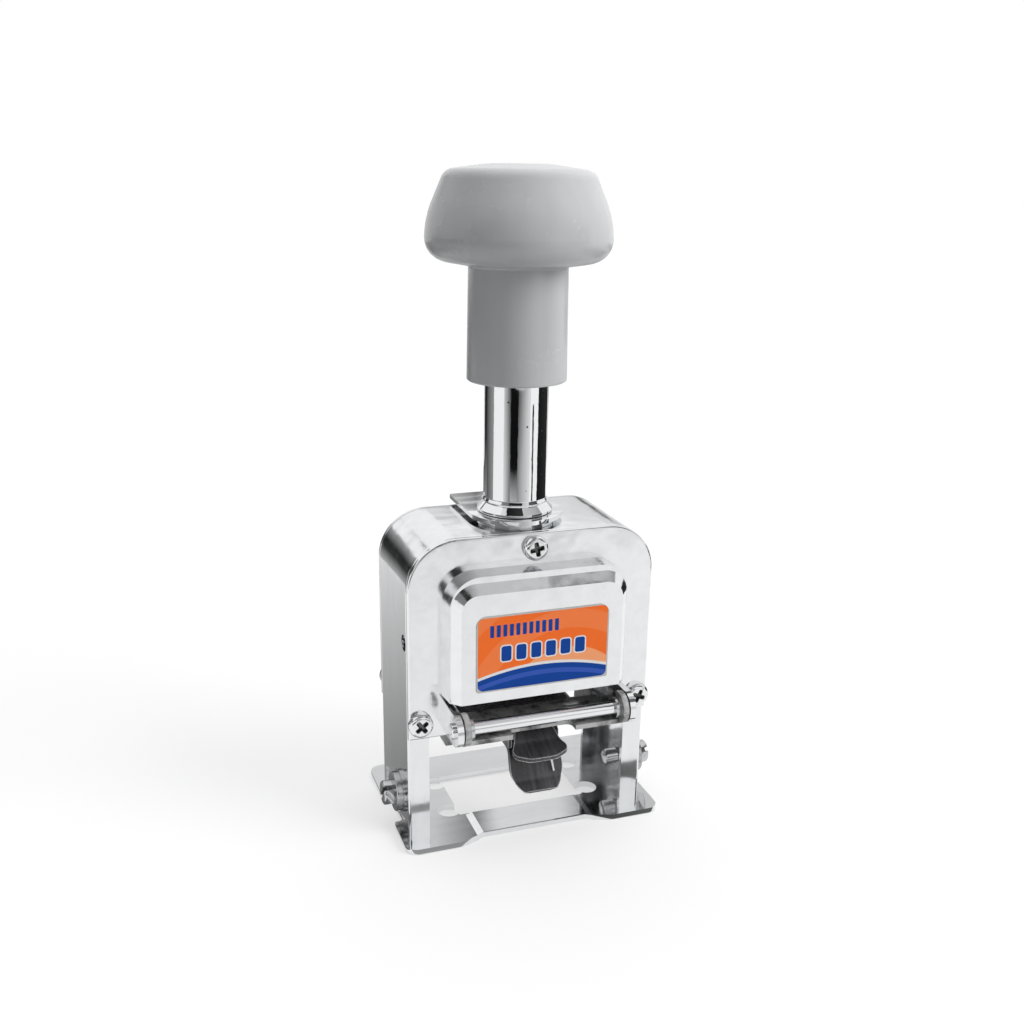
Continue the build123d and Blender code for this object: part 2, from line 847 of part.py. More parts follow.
def make_spring_seat():
    return flat_plate(Circle(seat_radius) - Circle(stem_radius), knob_ceiling - seat_thickness, knob_ceiling)


def make_lock_collar():
    top = latch_z - 3 * latch_gap + stroke
    ring = Circle(collar_radius) - Circle(stem_radius)
    collar = flat_plate(ring, top - collar_thickness, top)
    return chamfer(collar.edges().group_by(Axis.Z)[0], collar_chamfer)


def make_main_spring():
    low = cone_top + spring_end_gap + spring_wire
    high = knob_ceiling - seat_thickness - spring_end_gap - spring_wire
    return Pos(0, 0, low) * coil(spring_radius, spring_wire, spring_turns, high - low)


# ---- Carriage ----
def make_bridge():
    outer = outline((-guide_outer, guide_bottom, edge_round), (guide_outer, guide_bottom, edge_round),
                    (guide_outer, bridge_top, bridge_corner), (-guide_outer, bridge_top, bridge_corner))
    low = guide_bottom - over
    inner = outline((-guide_inner, low, 0), (guide_inner, low, 0),
                    (guide_inner, bridge_bottom, bridge_corner - bridge_sheet),
                    (-guide_inner, bridge_bottom, bridge_corner - bridge_sheet))
    guide_half_depth = flange_inner - guide_side_gap
    body = front_plate(outer - inner, -guide_half_depth, guide_half_depth)
    waist = guide_outer - bridge_corner
    for y_side in (-1, 1):
        y_pair = sorted((y_side * bridge_depth / 2, y_side * (guide_half_depth + over)))
        body -= block(-waist, waist, *y_pair, bridge_bottom - over, bridge_top + over)
    return body - rod_z_way(stem_thread_radius, bridge_bottom - over, bridge_top + over)


def make_wheel_bracket():
    middle_y = (bracket_front + bracket_back) / 2
    depth = bracket_back - bracket_front
    height = bracket_top - shaft_z
    flank = Pos(middle_y, shaft_z + height / 2) * Rectangle(depth, height)
    flank += at_shaft(Circle(bracket_radius))
    body = side_plate(flank, -bracket_half_width, bracket_half_width)
    body = fillet(body.edges().filter_by(Axis.Y).group_by(Axis.Z)[-1], bracket_sheet)
    body -= block(-bracket_inner, bracket_inner, -bracket_radius - over, bracket_radius + over,
                  0, bracket_top - bracket_sheet)
    body -= rod_z_way(stem_thread_radius, bracket_top - bracket_sheet - over, bracket_top + over)
    return body - rod_x(shaft_radius, -bracket_half_width - over, bracket_half_width + over, 0, shaft_z)


def make_bridge_nut():
    top = bracket_top - bracket_sheet
    return flat_plate(hexagon(bridge_nut_flats) - Circle(stem_thread_radius), top - bridge_nut_height, top)


def make_dial_plate():
    plan = outline((-bracket_half_width, dial_bottom, dial_corner),
                   (bracket_half_width, dial_bottom, dial_corner),
                   (bracket_half_width, dial_top, dial_corner), (-bracket_half_width, dial_top, dial_corner))
    plan -= Pos(0, selector_z) * Circle(selector_rivet_radius)
    return front_plate(plan, bracket_back, bracket_back + dial_sheet)


def make_selector_lever():
    front = bracket_back + dial_sheet + latch_gap
    back = front + selector_sheet
    tip = selector_z - selector_length
    root = selector_hub - selector_round
    arm = outline((-root, selector_z, 0), (-selector_round, tip, 0),
                  (selector_round, tip, 0), (root, selector_z, 0))
    plan = arm + Pos(0, selector_z) * Circle(selector_hub)
    plan -= Pos(0, selector_z) * Circle(selector_rivet_radius + running_clearance)
    button_z = selector_z - selector_button_drop
    button = rod_y_way(selector_button_radius, front, back + selector_button_length, 0, button_z)
    button = fillet(button.faces().sort_by(Axis.Y)[-1].edges(), selector_round)
    return front_plate(plan, front, back) + button


def make_selector_rivet():
    inner = bracket_back
    seat = bracket_back + dial_sheet + selector_sheet + 2 * latch_gap
    shank = rod_y_way(selector_rivet_radius, inner, seat + selector_rivet_rise / 2, 0, selector_z)
    head = rod_y_way(selector_rivet_head, seat, seat + selector_rivet_rise, 0, selector_z)
    return shank + fillet(head.faces().sort_by(Axis.Y)[-1].edges(), selector_round)


def comb_fingers(start, outer):
    """The fingers of a comb, one over the ratchet step of each number wheel."""
    flat = at_shaft(ring_sector(finger_tip, outer, start, start + finger_angle))
    side = (wheel_pitch - type_width - finger_width) / 2
    return [side_plate(flat, ratchet_x(i) + side, ratchet_x(i) + side + finger_width)
            for i in range(wheel_count)]


def make_detent_comb():
    outer = bar_inner + comb_sheet
    body = side_plate(at_shaft(ring_sector(bar_inner, outer, detent_start_angle, detent_end_angle)),
                      -bracket_inner, bracket_inner)
    for finger in comb_fingers(detent_end_angle, outer):
        body += finger
    return body


# ---- Number wheels ----
def make_number_wheel(index):
    block_depth = wheel_radius - disc_radius + over
    face = Pos(wheel_radius - block_depth / 2, 0) * Rectangle(block_depth, type_face)
    rim = Circle(disc_radius)
    for turn in range(wheel_faces):
        rim += Rot(0, 0, turn * 360 / wheel_faces - 90) * face
    rim &= Circle(wheel_radius)
    bore = Circle(shaft_radius + running_clearance)
    teeth = []
    for tooth in range(wheel_faces):
        angle = 2 * math.pi * tooth / wheel_faces
        teeth.append((ratchet_tip * math.cos(angle), ratchet_tip * math.sin(angle)))
        foot = angle + math.radians(ratchet_back_angle)
        teeth.append((ratchet_root * math.cos(foot), ratchet_root * math.sin(foot)))
    ratchet = make_face(Polyline(*teeth, close=True))
    left = wheel_x(index) - wheel_width / 2
    wheel = side_plate(at_shaft(rim - bore), left, left + type_width)
    return wheel + side_plate(at_shaft(ratchet - bore), left + type_width, left + wheel_width)


def make_wheel_shaft():
    end = nut_inner + shaft_nut_length
    shaft = rod_x(shaft_radius, -end, end, 0, shaft_z)
    return chamfer(shaft.edges().filter_by(GeomType.CIRCLE), shaft_chamfer)


def make_shaft_spacers():
    flat = at_shaft(Circle(spacer_radius) - Circle(shaft_radius))
    return both_sides(side_plate(flat, wheel_row_half + spacer_gap, bracket_inner))


def make_shaft_nuts():
    flat = at_shaft(RegularPolygon(shaft_nut_radius, 6) - Circle(shaft_radius))
    return both_sides(side_plate(flat, nut_inner, nut_inner + shaft_nut_length))


# ---- Pawl rocker ----
def make_rocker_frame():
    middle = (bar_start_angle + bar_end_angle) / 2
    arm_start = middle - rocker_arm_angle / 2
    arm = Circle(rocker_hub) + ring_sector(shaft_radius, bar_outer, arm_start, arm_start + rocker_arm_angle)
    arm += ring_sector(bar_inner, bar_outer, bar_start_angle, bar_end_angle)
    arm -= Circle(shaft_radius + running_clearance)
    body = side_plate(at_shaft(ring_sector(bar_inner, bar_outer, bar_start_angle, bar_end_angle)),
                      -rocker_outer, rocker_outer)
    body += side_plate(at_shaft(arm), -rocker_outer, -rocker_inner)
    body += side_plate(at_shaft(arm), rocker_inner, rocker_outer)
    for screw in pawl_screw_shanks():
        body -= screw
    return body


def pawl_screw_shanks():
    """Round cutters or shanks through the rocker's bar and the pawl comb."""
    return [pawl_screw_place(x) * flat_plate(Circle(pawl_screw_radius), bar_inner, comb_outer)
            for x in (-pawl_screw_x, pawl_screw_x)]


def pawl_screw_place(x):
    """Turn the Z axis at the shaft out through the middle of the rocker's bar."""
    middle = (bar_start_angle + bar_end_angle) / 2
    return Pos(x, 0, shaft_z) * Rot(middle - 90, 0, 0)


def make_pawl_comb():
    start = bar_start_angle + comb_turn_angle
    end = bar_end_angle + comb_turn_angle
    flat = at_shaft(ring_sector(bar_outer, comb_outer, start, end))
    body = side_plate(flat, -comb_half_width, comb_half_width)
    for finger in comb_fingers(end, comb_outer):
        body += finger
    for screw in pawl_screw_shanks():
        body -= screw
    return body


def make_pawl_screws():
    screws = []
    for x, shank in zip((-pawl_screw_x, pawl_screw_x), pawl_screw_shanks()):
        head = flat_plate(Circle(pawl_screw_head), comb_outer, comb_outer + pawl_screw_head_height)
        screws.append(shank + pawl_screw_place(x) * head)
    return as_one(*screws)


def make_drive_arm():
    bar = Pos(drive_length / 2, 0) * Rectangle(drive_length, 2 * drive_half_width)
    lever = Circle(drive_hub) + bar + Pos(drive_length, 0) * Circle(drive_half_width)
    bore = Circle(shaft_radius + running_clearance)
    flat = at_shaft(Rot(0, 0, 180 + drive_droop_angle) * (lever - bore))
    boss = at_shaft(Circle(drive_hub) - bore)
    return side_plate(flat, -drive_outer, -drive_inner) + side_plate(boss, -drive_inner, -rocker_outer)


def make_rocker_spring():
    low = rocker_outer + rocker_spring_wire + 2 * running_clearance
    length = nut_inner - low - 2 * rocker_spring_wire
    winding = coil(rocker_spring_radius, rocker_spring_wire, rocker_spring_turns, length)
    leg = Pos(rocker_spring_radius, -rocker_spring_wire, length) * Rot(rocker_spring_rise_angle - 90, 0, 0)
    leg *= Cylinder(rocker_spring_wire, rocker_spring_leg, align=(Align.CENTER, Align.CENTER, Align.MIN))
    return Pos(low, 0, shaft_z) * Rot(0, 90, 0) * (winding + leg)


# ---- Ink arm ----
def make_pad_rod():
    return rod_x(rod_radius, -ear_outer_x, ear_outer_x, rod_y, rod_z)


def make_rod_ends():
    end = rod_x(rod_end_radius, ear_outer_x, ear_outer_x + rod_end_height, rod_y, rod_z)
    return both_sides(fillet(end.faces().sort_by(Axis.X)[-1].edges(), rod_end_height / 2))


def make_ink_arm():
    nose_y = rod_y + arm_nose
    nose_half = math.sqrt(ear_radius ** 2 - arm_nose ** 2)
    back_top = lip_top + arm_back_height
    flank = outline((nose_y, rod_z + nose_half, 0), (arm_knee_y, web_top + arm_knee_rise, arm_bend_round),
                    (arm_back - arm_back_corner, back_top, arm_back_corner),
                    (arm_back, back_top - arm_back_bevel, 0), (arm_back, lip_bottom, arm_low_corner),
                    (arm_bend_y, lip_bottom, arm_bend_round), (nose_y, rod_z - nose_half, 0))
    flank += Pos(rod_y, rod_z) * Circle(ear_radius)
    web_front = rod_y - web_nose
    web = block(-arm_outer_x, arm_outer_x, web_front, web_back, web_bottom, web_top)
    web = fillet(web.edges().filter_by(Axis.Z).group_by(Axis.Y)[-1], web_corner)
    slot = Pos(web_slot_x, web_slot_y) * SlotOverall(web_slot_length, web_slot_width)
    slot += outline((-web_notch_half_width, web_front - over, 0), (web_notch_half_width, web_front - over, 0),
                    (web_notch_half_width, web_front + web_notch_depth, web_notch_round),
                    (-web_notch_half_width, web_front + web_notch_depth, web_notch_round))
    body = web - flat_plate(slot, web_bottom - over, web_top + over)
    for side in (-1, 1):
        x_pair = sorted((side * arm_inner_x, side * arm_outer_x))
        lip_pair = sorted((side * lip_inner_x, side * arm_inner_x))
        body += side_plate(flank, *x_pair)
        body += block(*lip_pair, lip_front, arm_back - lip_sheet, lip_bottom, lip_top)
    return body - rod_x(rod_radius + running_clearance, -ear_outer_x, ear_outer_x, rod_y, rod_z)


def make_arm_bushes():
    ring = Circle(rod_radius + bush_wall) - Circle(rod_radius + running_clearance)
    return both_sides(side_plate(Pos(rod_y, rod_z) * ring, arm_inner_x - bush_length, arm_inner_x))


# ---- Pad holder ----
def make_pad_tray():
    floor_half = arm_inner_x - 3 * slide_gap
    wall_inner = tray_half_width - tray_sheet
    wall_top = tray_bottom + tray_wall_height
    body = block(-tray_half_width, tray_half_width, tray_front, tray_back, tray_bottom, wall_top)
    low_edges = body.edges().filter_by(Axis.X).group_by(Axis.Z)[0]
    body = fillet(low_edges.sort_by(Axis.Y)[-1], tray_corner)
    hollow = block(-wall_inner, wall_inner, tray_front + tray_sheet, tray_back - tray_sheet,
                   tray_floor, wall_top + over)
    hollow = fillet(hollow.edges().filter_by(Axis.X).group_by(Axis.Z)[0].sort_by(Axis.Y)[-1],
                    tray_corner - tray_sheet)
    body -= hollow
    body += block(-floor_half, floor_half, tray_front, tray_ledge_back, tray_bottom, tray_floor)
    body += block(-tray_tongue_half_width, tray_tongue_half_width, tray_front - tray_tongue_length,
                  tray_front + over, tray_bottom, tray_floor)
    for x, y in tray_rivet_places():
        body -= rod_z_way(rivet_radius, tray_bottom - over, tray_floor + over, x, y)
    return body


def tray_rivet_places():
    middle = tray_front - tray_tongue_length / 2
    return [(-tray_rivet_x, middle), (tray_rivet_x, middle)]


def make_tray_rivets():
    low = tray_bottom - grip_sheet
    rivets = []
    for x, y in tray_rivet_places():
        shank = rod_z_way(rivet_radius, low, tray_floor + rivet_head_height / 2, x, y)
        head = rod_z_way(rivet_head_radius, tray_floor, tray_floor + rivet_head_height, x, y)
        rivets.append(shank + head)
    return as_one(*rivets)


def make_ink_pad():
    half = tray_half_width - tray_sheet - pad_margin
    pad = block(-half, half, tray_front + tray_sheet + pad_margin, tray_back - tray_sheet - pad_margin,
                tray_floor, pad_top)
    low_edges = pad.edges().filter_by(Axis.X).group_by(Axis.Z)[0]
    pad = fillet(low_edges.sort_by(Axis.Y)[-1], tray_corner - tray_sheet)
    return fillet(pad.faces().sort_by(Axis.Z)[-1].edges(), pad_round)


def bent_sheet(middle_line, bend):
    """Side view of a grip, as a sheet about its middle line of (y, z) points."""
    return trace(FilletPolyline(*middle_line, radius=bend), grip_sheet)


def make_grip_lower():
    top = tray_bottom
    root_back = tray_front + grip_root_length
    root_z = top - grip_sheet / 2
    line = [(root_back, root_z), (lower_bend_y, root_z),
            (lower_knee_y, lower_knee_z), (lower_tip_y, lower_grip_tip + grip_sheet / 2)]
    wide = lower_grip_half_width
    tab = side_plate(bent_sheet(line, lower_grip_bend), -wide, wide)
    root = wide - lower_grip_taper
    view = outline((-root, top + over, 0), (root, top + over, 0),
                   (wide, lower_grip_tip, lower_grip_corner), (-wide, lower_grip_tip, lower_grip_corner))
    tab &= front_plate(view, lower_tip_y - over, 0)
    low = top - grip_sheet
    cheek = outline((cheek_back, low, 0), (cheek_back, cheek_top, cheek_corner),
                    (pin_y - cheek_top_length, cheek_top, cheek_corner),
                    (cheek_front, cheek_shoulder, cheek_shoulder_round), (cheek_front, low + grip_sheet / 2, 0))
    body = tab
    for side in (-1, 1):
        x_pair = sorted((side * cheek_half_width, side * (cheek_half_width - grip_sheet)))
        body += side_plate(cheek, *x_pair)
    wing_root = -cheek_half_width + grip_sheet
    wing_neck = wing_root - wing_neck_width
    wing_tip = -cheek_half_width - wing_reach
    wing = outline((wing_tip, wing_top, wing_round), (wing_neck, wing_top, wing_round / 2),
                   (wing_neck, cheek_shoulder, 0), (wing_root, cheek_shoulder, 0), (wing_root, wing_bottom, 0),
                   (wing_root - wing_slope, wing_bottom, wing_round))
    body += front_plate(wing, cheek_front, cheek_front + grip_sheet)
    body -= rod_x(pin_radius, -cheek_half_width - over, cheek_half_width + over, pin_y, pin_z)
    for x, y in tray_rivet_places():
        body -= rod_z_way(rivet_radius, low - over, top + over, x, y)
    return body


def make_grip_upper():
    root_z = upper_grip_top - grip_sheet / 2
    line = [(upper_grip_back, root_z), (upper_bend_y, root_z),
            (upper_knee_y, root_z - upper_knee_drop), (upper_tip_y, root_z - upper_tip_drop)]
    wide = upper_grip_half_width
    root = upper_root_half_width
    tab = side_plate(bent_sheet(line, upper_grip_bend), -wide, wide)
    plan = outline((-root, upper_grip_back, 0), (root, upper_grip_back, 0), (root, grip_flare_y, 0),
                   (wide, grip_corner_y, grip_flare_round), (grip_tip_half_width, upper_tip_y, grip_tip_round),
                   (-grip_tip_half_width, upper_tip_y, grip_tip_round),
                   (-wide, grip_corner_y, grip_flare_round), (-root, grip_flare_y, 0))
    tab &= flat_plate(plan, lower_grip_tip, web_top)
    knuckle = Pos(pin_y, pin_z) * Circle(knuckle_radius)
    seat_z = upper_grip_top - knuckle_seat
    knuckle += outline((pin_y - knuckle_radius, pin_z, 0), (pin_y + knuckle_radius, pin_z, 0),
                       (pin_y + knuckle_radius, seat_z, 0), (pin_y - knuckle_radius, seat_z, 0))
    body = tab
    inner = root - knuckle_sheet
    for x_pair in ((-root, -inner), (inner, root)):
        body += side_plate(knuckle, *x_pair)
    return body - rod_x(pin_radius + running_clearance, -root - over, root + over, pin_y, pin_z)


def make_grip_pin():
    return rod_x(pin_radius, -cheek_half_width, cheek_half_width, pin_y, pin_z)


def make_clip_spring():
    radius = pin_radius + running_clearance + clip_wire
    length = clip_turns * 2 * (clip_wire + running_clearance)
    start_x = upper_root_half_width - knuckle_sheet - clip_end_gap
    winding = mirror(Rot(0, 90, 0) * coil(radius, clip_wire, clip_turns, length), about=Plane.YZ)
    low = pin_z - radius
    tip_z = lower_grip_tip + clip_tip_rise
    run = (lower_bend_y - lower_knee_y) / (tray_bottom - grip_sheet / 2 - lower_knee_z)
    tip_y = lower_knee_y + (tip_z - lower_knee_z) * run
    tip_y -= (grip_sheet / 2 + clip_wire) * math.hypot(1, run) + clip_tip_gap
    leg = wire_through([(start_x, pin_y, low), (start_x, pin_y - clip_lead, low),
                        (start_x + clip_spread, pin_y - clip_knee_reach, pin_z - clip_knee_drop),
                        (start_x + 2 * clip_spread, tip_y, tip_z)],
                        clip_wire, clip_bend)
    return Pos(start_x, pin_y, pin_z) * winding + leg


# ---- Every piece, by the name of its file ----
pieces = {
    "base_plate": make_base_plate,
    "main_frame": make_main_frame,
    "front_cover": make_front_cover,
    "back_cover": make_back_cover,
    "front_cover_screws": make_front_screws,
    "back_cover_screws": make_back_screws,
    "label_plate": make_label_plate,
    "trip_studs": make_trip_studs,
    "stud_discs": make_stud_discs,
    "stud_washers": make_stud_washers,
    "stud_nuts": make_stud_nuts,
    "tube_collar": make_tube_collar,
    "guide_tube": make_guide_tube,
    "neck_nut": make_neck_nut,
    "latch_washer": make_latch_washer,
    "latch_plate": make_latch_plate,
    "knob": make_knob,
    "knob_insert": make_knob_insert,
    "stem": make_stem,
    "spring_seat": make_spring_seat,
    "lock_collar": make_lock_collar,
    "main_spring": make_main_spring,
    "bridge": make_bridge,
    "wheel_bracket": make_wheel_bracket,
    "bridge_nut": make_bridge_nut,
    "dial_plate": make_dial_plate,
    "selector_lever": make_selector_lever,
    "selector_rivet": make_selector_rivet,
    "detent_comb": make_detent_comb,
    "wheel_shaft": make_wheel_shaft,
    "shaft_spacers": make_shaft_spacers,
    "shaft_nuts": make_shaft_nuts,
    "rocker_frame": make_rocker_frame,
    "pawl_comb": make_pawl_comb,
    "pawl_screws": make_pawl_screws,
    "drive_arm": make_drive_arm,
    "rocker_spring": make_rocker_spring,
    "pad_rod": make_pad_rod,
    "rod_ends": make_rod_ends,
    "ink_arm": make_ink_arm,
    "arm_bushes": make_arm_bushes,
    "pad_tray": make_pad_tray,
    "tray_rivets": make_tray_rivets,
    "ink_pad": make_ink_pad,
    "grip_lower": make_grip_lower,
    "grip_pin": make_grip_pin,
    "clip_spring": make_clip_spring,
    "grip_upper": make_grip_upper,
}

os.makedirs("parts", exist_ok=True)
for name, make in pieces.items():
    export_step(make(), f"parts/{name}.step")
for wheel in range(wheel_count):
    export_step(make_number_wheel(wheel), f"parts/number_wheel_{wheel + 1}.step")
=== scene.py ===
"""Numbering machine: a hand stamp with six number wheels under a bright metal arch.

The jointed frame holds every piece at its real size, in metres. Each section below dresses one piece
or a group of like pieces, in the order in which the machine is put together.
"""
import json
import math

import bmesh
import bpy
from mathutils import Matrix, Vector, noise


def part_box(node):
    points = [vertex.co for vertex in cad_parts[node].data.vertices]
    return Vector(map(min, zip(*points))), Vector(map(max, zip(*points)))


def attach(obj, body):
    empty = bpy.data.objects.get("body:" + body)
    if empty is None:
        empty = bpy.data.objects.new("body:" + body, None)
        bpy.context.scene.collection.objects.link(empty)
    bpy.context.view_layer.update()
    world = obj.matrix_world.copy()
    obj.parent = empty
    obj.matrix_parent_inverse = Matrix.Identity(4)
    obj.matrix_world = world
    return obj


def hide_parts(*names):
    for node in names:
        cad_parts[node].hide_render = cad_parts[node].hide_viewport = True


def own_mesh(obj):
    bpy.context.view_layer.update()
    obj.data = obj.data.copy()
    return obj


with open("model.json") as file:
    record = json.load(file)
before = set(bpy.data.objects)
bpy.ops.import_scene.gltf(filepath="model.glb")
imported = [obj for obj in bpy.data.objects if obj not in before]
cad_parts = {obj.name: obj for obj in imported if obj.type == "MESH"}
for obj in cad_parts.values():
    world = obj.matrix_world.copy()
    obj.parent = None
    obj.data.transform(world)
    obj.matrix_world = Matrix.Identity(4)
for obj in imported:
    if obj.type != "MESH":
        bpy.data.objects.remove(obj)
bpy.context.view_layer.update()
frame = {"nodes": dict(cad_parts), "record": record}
nodes = frame["nodes"]
mm = 0.001


# ---- Base plate ----
# One steel sheet, blanked and formed, with its front strip pressed up a little and bright plated.
# It takes the feet of the arch in four notches. The plating shows faint waves from the rolling.

def group_tree(name, inputs, outputs):
    """An empty shader group with named inputs (name, kind, value) and outputs (name, kind)."""
    tree = bpy.data.node_groups.new(name, "ShaderNodeTree")
    for label, kind, value in inputs:
        made = tree.interface.new_socket(label, in_out="INPUT", socket_type="NodeSocket" + kind)
        made.default_value = value
    for label, kind in outputs:
        tree.interface.new_socket(label, in_out="OUTPUT", socket_type="NodeSocket" + kind)
    return tree, tree.nodes.new("NodeGroupInput").outputs, tree.nodes.new("NodeGroupOutput").inputs


def add(tree, kind, sockets=None, **values):
    """A node in the tree: values set its properties, and sockets are linked or given a value."""
    node = tree.nodes.new("ShaderNode" + kind)
    for key, value in values.items():
        setattr(node, key, value)
    for socket, source in (sockets or {}).items():
        if isinstance(source, bpy.types.NodeSocket):
            tree.links.new(source, node.inputs[socket])
        else:
            node.inputs[socket].default_value = source
    return node


def ramp(tree, source, start, end, low=0.0, high=1.0):
    """Turns a source that runs from start to end into a value from low to high."""
    return add(tree, "MapRange", {"Value": source, "From Min": start, "From Max": end,
                                  "To Min": low, "To Max": high}).outputs[0]


def math_node(tree, operation, *sources):
    """A math node over its sources."""
    return add(tree, "Math", dict(enumerate(sources)), operation=operation).outputs[0]


def speckle(tree, place, scale, detail=2.0, rough=0.5):
    """Noise over the piece, in features of 1/scale metres."""
    return add(tree, "TexNoise", {"Vector": place, "Scale": scale, "Detail": detail,
                                  "Roughness": rough}).outputs[0]


def drawn_out(tree, place, factors):
    """A place scaled by a factor along each axis, which draws out the noise laid over it."""
    return add(tree, "VectorMath", {0: place, 1: factors}, operation="MULTIPLY").outputs[0]


def toned(tree, colour, tone):
    """A colour made lighter or darker by a tone about 1."""
    return add(tree, "VectorMath", {0: colour, "Scale": tone}, operation="SCALE").outputs[0]


def put_out(tree, out, **sources):
    """Links what a group has made to its outputs, by name."""
    for label, source in sources.items():
        tree.links.new(source, out[label])


def surface_group():
    """A made surface: slow waves and fine grain in its height, and cloudy patches in its gloss and tone."""
    tree, given, out = group_tree(
        "made surface",
        [("Colour", "Color", (0.8, 0.8, 0.8, 1)), ("Gloss", "Float", 0.08), ("Cloud", "Float", 0.08),
         ("Wave", "Float", 0.1), ("Wave Size", "Float", 90.0), ("Grain", "Float", 0.02),
         ("Tone", "Float", 0.05), ("Stretch", "Vector", (1, 1, 1))],
        [("Colour", "Color"), ("Roughness", "Float"), ("Normal", "Vector")])
    cloud_size, grain_size = 240.0, 3200.0
    wave_height, grain_height = 2 * mm, 0.2 * mm
    drawn = drawn_out(tree, add(tree, "TexCoord").outputs["Object"], given["Stretch"])
    wave = speckle(tree, drawn, given["Wave Size"], 2.0, 0.45)
    cloud = speckle(tree, drawn, cloud_size, 5.0, 0.6)
    grain = speckle(tree, drawn, grain_size)
    patch = ramp(tree, cloud, 0.42, 0.75)
    rough = math_node(tree, "MULTIPLY_ADD", patch, given["Cloud"], given["Gloss"])
    tone = math_node(tree, "MULTIPLY_ADD", ramp(tree, cloud, 0.3, 0.8, 0.5, -1.0), given["Tone"], 1.0)
    swell = add(tree, "Bump", {"Height": wave, "Strength": given["Wave"], "Distance": wave_height})
    fine = add(tree, "Bump", {"Height": grain, "Strength": given["Grain"], "Distance": grain_height,
                              "Normal": swell.outputs[0]})
    put_out(tree, out, Colour=toned(tree, given["Colour"], tone), Roughness=rough, Normal=fine.outputs[0])
    return tree


made_surface = surface_group()
slot_colour = {item["slot"]: (*item["base_color"], 1.0) for item in frame["record"]["materials"]}
shader_sockets = {"Colour": "Base Color", "Roughness": "Roughness", "Metallic": "Metallic",
                  "Normal": "Normal"}


def placed_group(tree, group, **values):
    """A group placed in a tree with its own values: wave_size sets its input Wave Size."""
    node = add(tree, "Group", node_tree=group)
    for key, value in values.items():
        node.inputs[key.replace("_", " ").title()].default_value = value
    return node


def finish(name, slot, metallic=1.0, colour=None, **surface):
    """A material from the made-surface group, for one slot of the record."""
    made = bpy.data.materials.new(name)
    made.use_nodes = True
    tree = made.node_tree
    shader = tree.nodes["Principled BSDF"]
    shader.inputs["Metallic"].default_value = metallic
    face = placed_group(tree, made_surface, colour=colour or slot_colour[slot], **surface)
    for label in ("Colour", "Roughness", "Normal"):
        tree.links.new(face.outputs[label], shader.inputs[shader_sockets[label]])
    made["slot"] = slot
    return made


def dress(material, *names):
    """Puts a finish on CAD nodes."""
    for name in names:
        mesh = nodes[name].data
        mesh.materials.clear()
        mesh.materials.append(material)


chrome_sheet = finish("chrome on rolled sheet", "bright_chrome", gloss=0.05, cloud=0.10, wave=0.10,
                      stretch=(0.25, 1, 1))
dress(chrome_sheet, "base_plate")

# ---- Housing arch ----
# A strip of steel bent to an arch, with in-turned flanges, its feet set through the base plate.
# It was polished before it was plated, so its faces are clean but a little hazy.

chrome_bent = finish("chrome on bent strip", "bright_chrome", gloss=0.10, cloud=0.10, wave=0.12,
                     wave_size=70.0, stretch=(1, 1, 0.3))
dress(chrome_bent, "main_frame")

# ---- Covers ----
# Two pressed sheets on the arch's flanges. The front one has the raised box that carries the label,
# and the back one has a window for the dial. Both are plated like the arch.

chrome_pressed = finish("chrome on pressed sheet", "bright_chrome", gloss=0.09, cloud=0.12, wave=0.10,
                        wave_size=110.0)
dress(chrome_pressed, "front_cover", "back_cover")

# ---- Cover screws ----
# Pan-head screws with a cross recess, turned and nickel plated bright: three in front, three behind.
# Each goes through its cover into the flange of the arch.

screw_head_radius = 3.0 * mm
screw_head_height = 2.0 * mm
screw_head_round = 1.1 * mm
screw_shank_radius = 1.25 * mm
cover_face = 14.5 * mm
cover_grip = 2.4 * mm
screw_places = ((0.0, 72.8 * mm, 12), (-28.2 * mm, 31.1 * mm, 38), (28.2 * mm, 31.1 * mm, -24))
cross_reach = 1.9 * mm
cross_half_width = 0.36 * mm
cross_depth = 1.1 * mm
shaded_below = 0.12 * mm
shank_point = 1.05
turned_sides = 96


def smooth_step(value, start, end):
    """0 before start, 1 after end, and a smooth rise between them."""
    part = min(max((value - start) / (end - start), 0.0), 1.0)
    return part * part * (3 - 2 * part)


def settled(name, mesh):
    """Finished mesh data from a bmesh, which is freed."""
    made = bpy.data.meshes.new(name)
    mesh.to_mesh(made)
    mesh.free()
    return made


def in_scene(name, data):
    """An object that holds this data, put in the scene."""
    made = bpy.data.objects.new(name, data)
    bpy.context.scene.collection.objects.link(made)
    return made


def spin(name, profile, sides, sink, material, shade_paint):
    """A mesh turned round Z from a profile of (radius, height), first and last point on the axis.

    sink gives how far the head drops at (x, y); where it drops deep, the faces get painted shade."""
    mesh = bmesh.new()
    rings = []
    for radius, height in profile[1:-1]:
        ring = []
        for side in range(sides):
            turn = 2 * math.pi * side / sides
            x, y = radius * math.cos(turn), radius * math.sin(turn)
            drop = sink(x, y) if height > 0 else 0.0
            ring.append(mesh.verts.new((x, y, height - drop)))
        rings.append(ring)
    start = mesh.verts.new((0, 0, profile[0][1] - sink(0, 0)))
    end = mesh.verts.new((0, 0, profile[-1][1]))
    for side in range(sides):
        after = (side + 1) % sides
        mesh.faces.new((start, rings[0][side], rings[0][after]))
        mesh.faces.new((end, rings[-1][after], rings[-1][side]))
        for inner, outer in zip(rings, rings[1:]):
            mesh.faces.new((inner[side], outer[side], outer[after], inner[after]))
    # Faces deep in the recess take the second, dark material: painted shade inside the recess.
    for face in mesh.faces:
        face.smooth = True
        middle = face.calc_center_median()
        face.material_index = int(middle.z > 0 and sink(middle.x, middle.y) > shaded_below)
    made = settled(name, mesh)
    made.materials.append(material)
    made.materials.append(shade_paint)
    return made


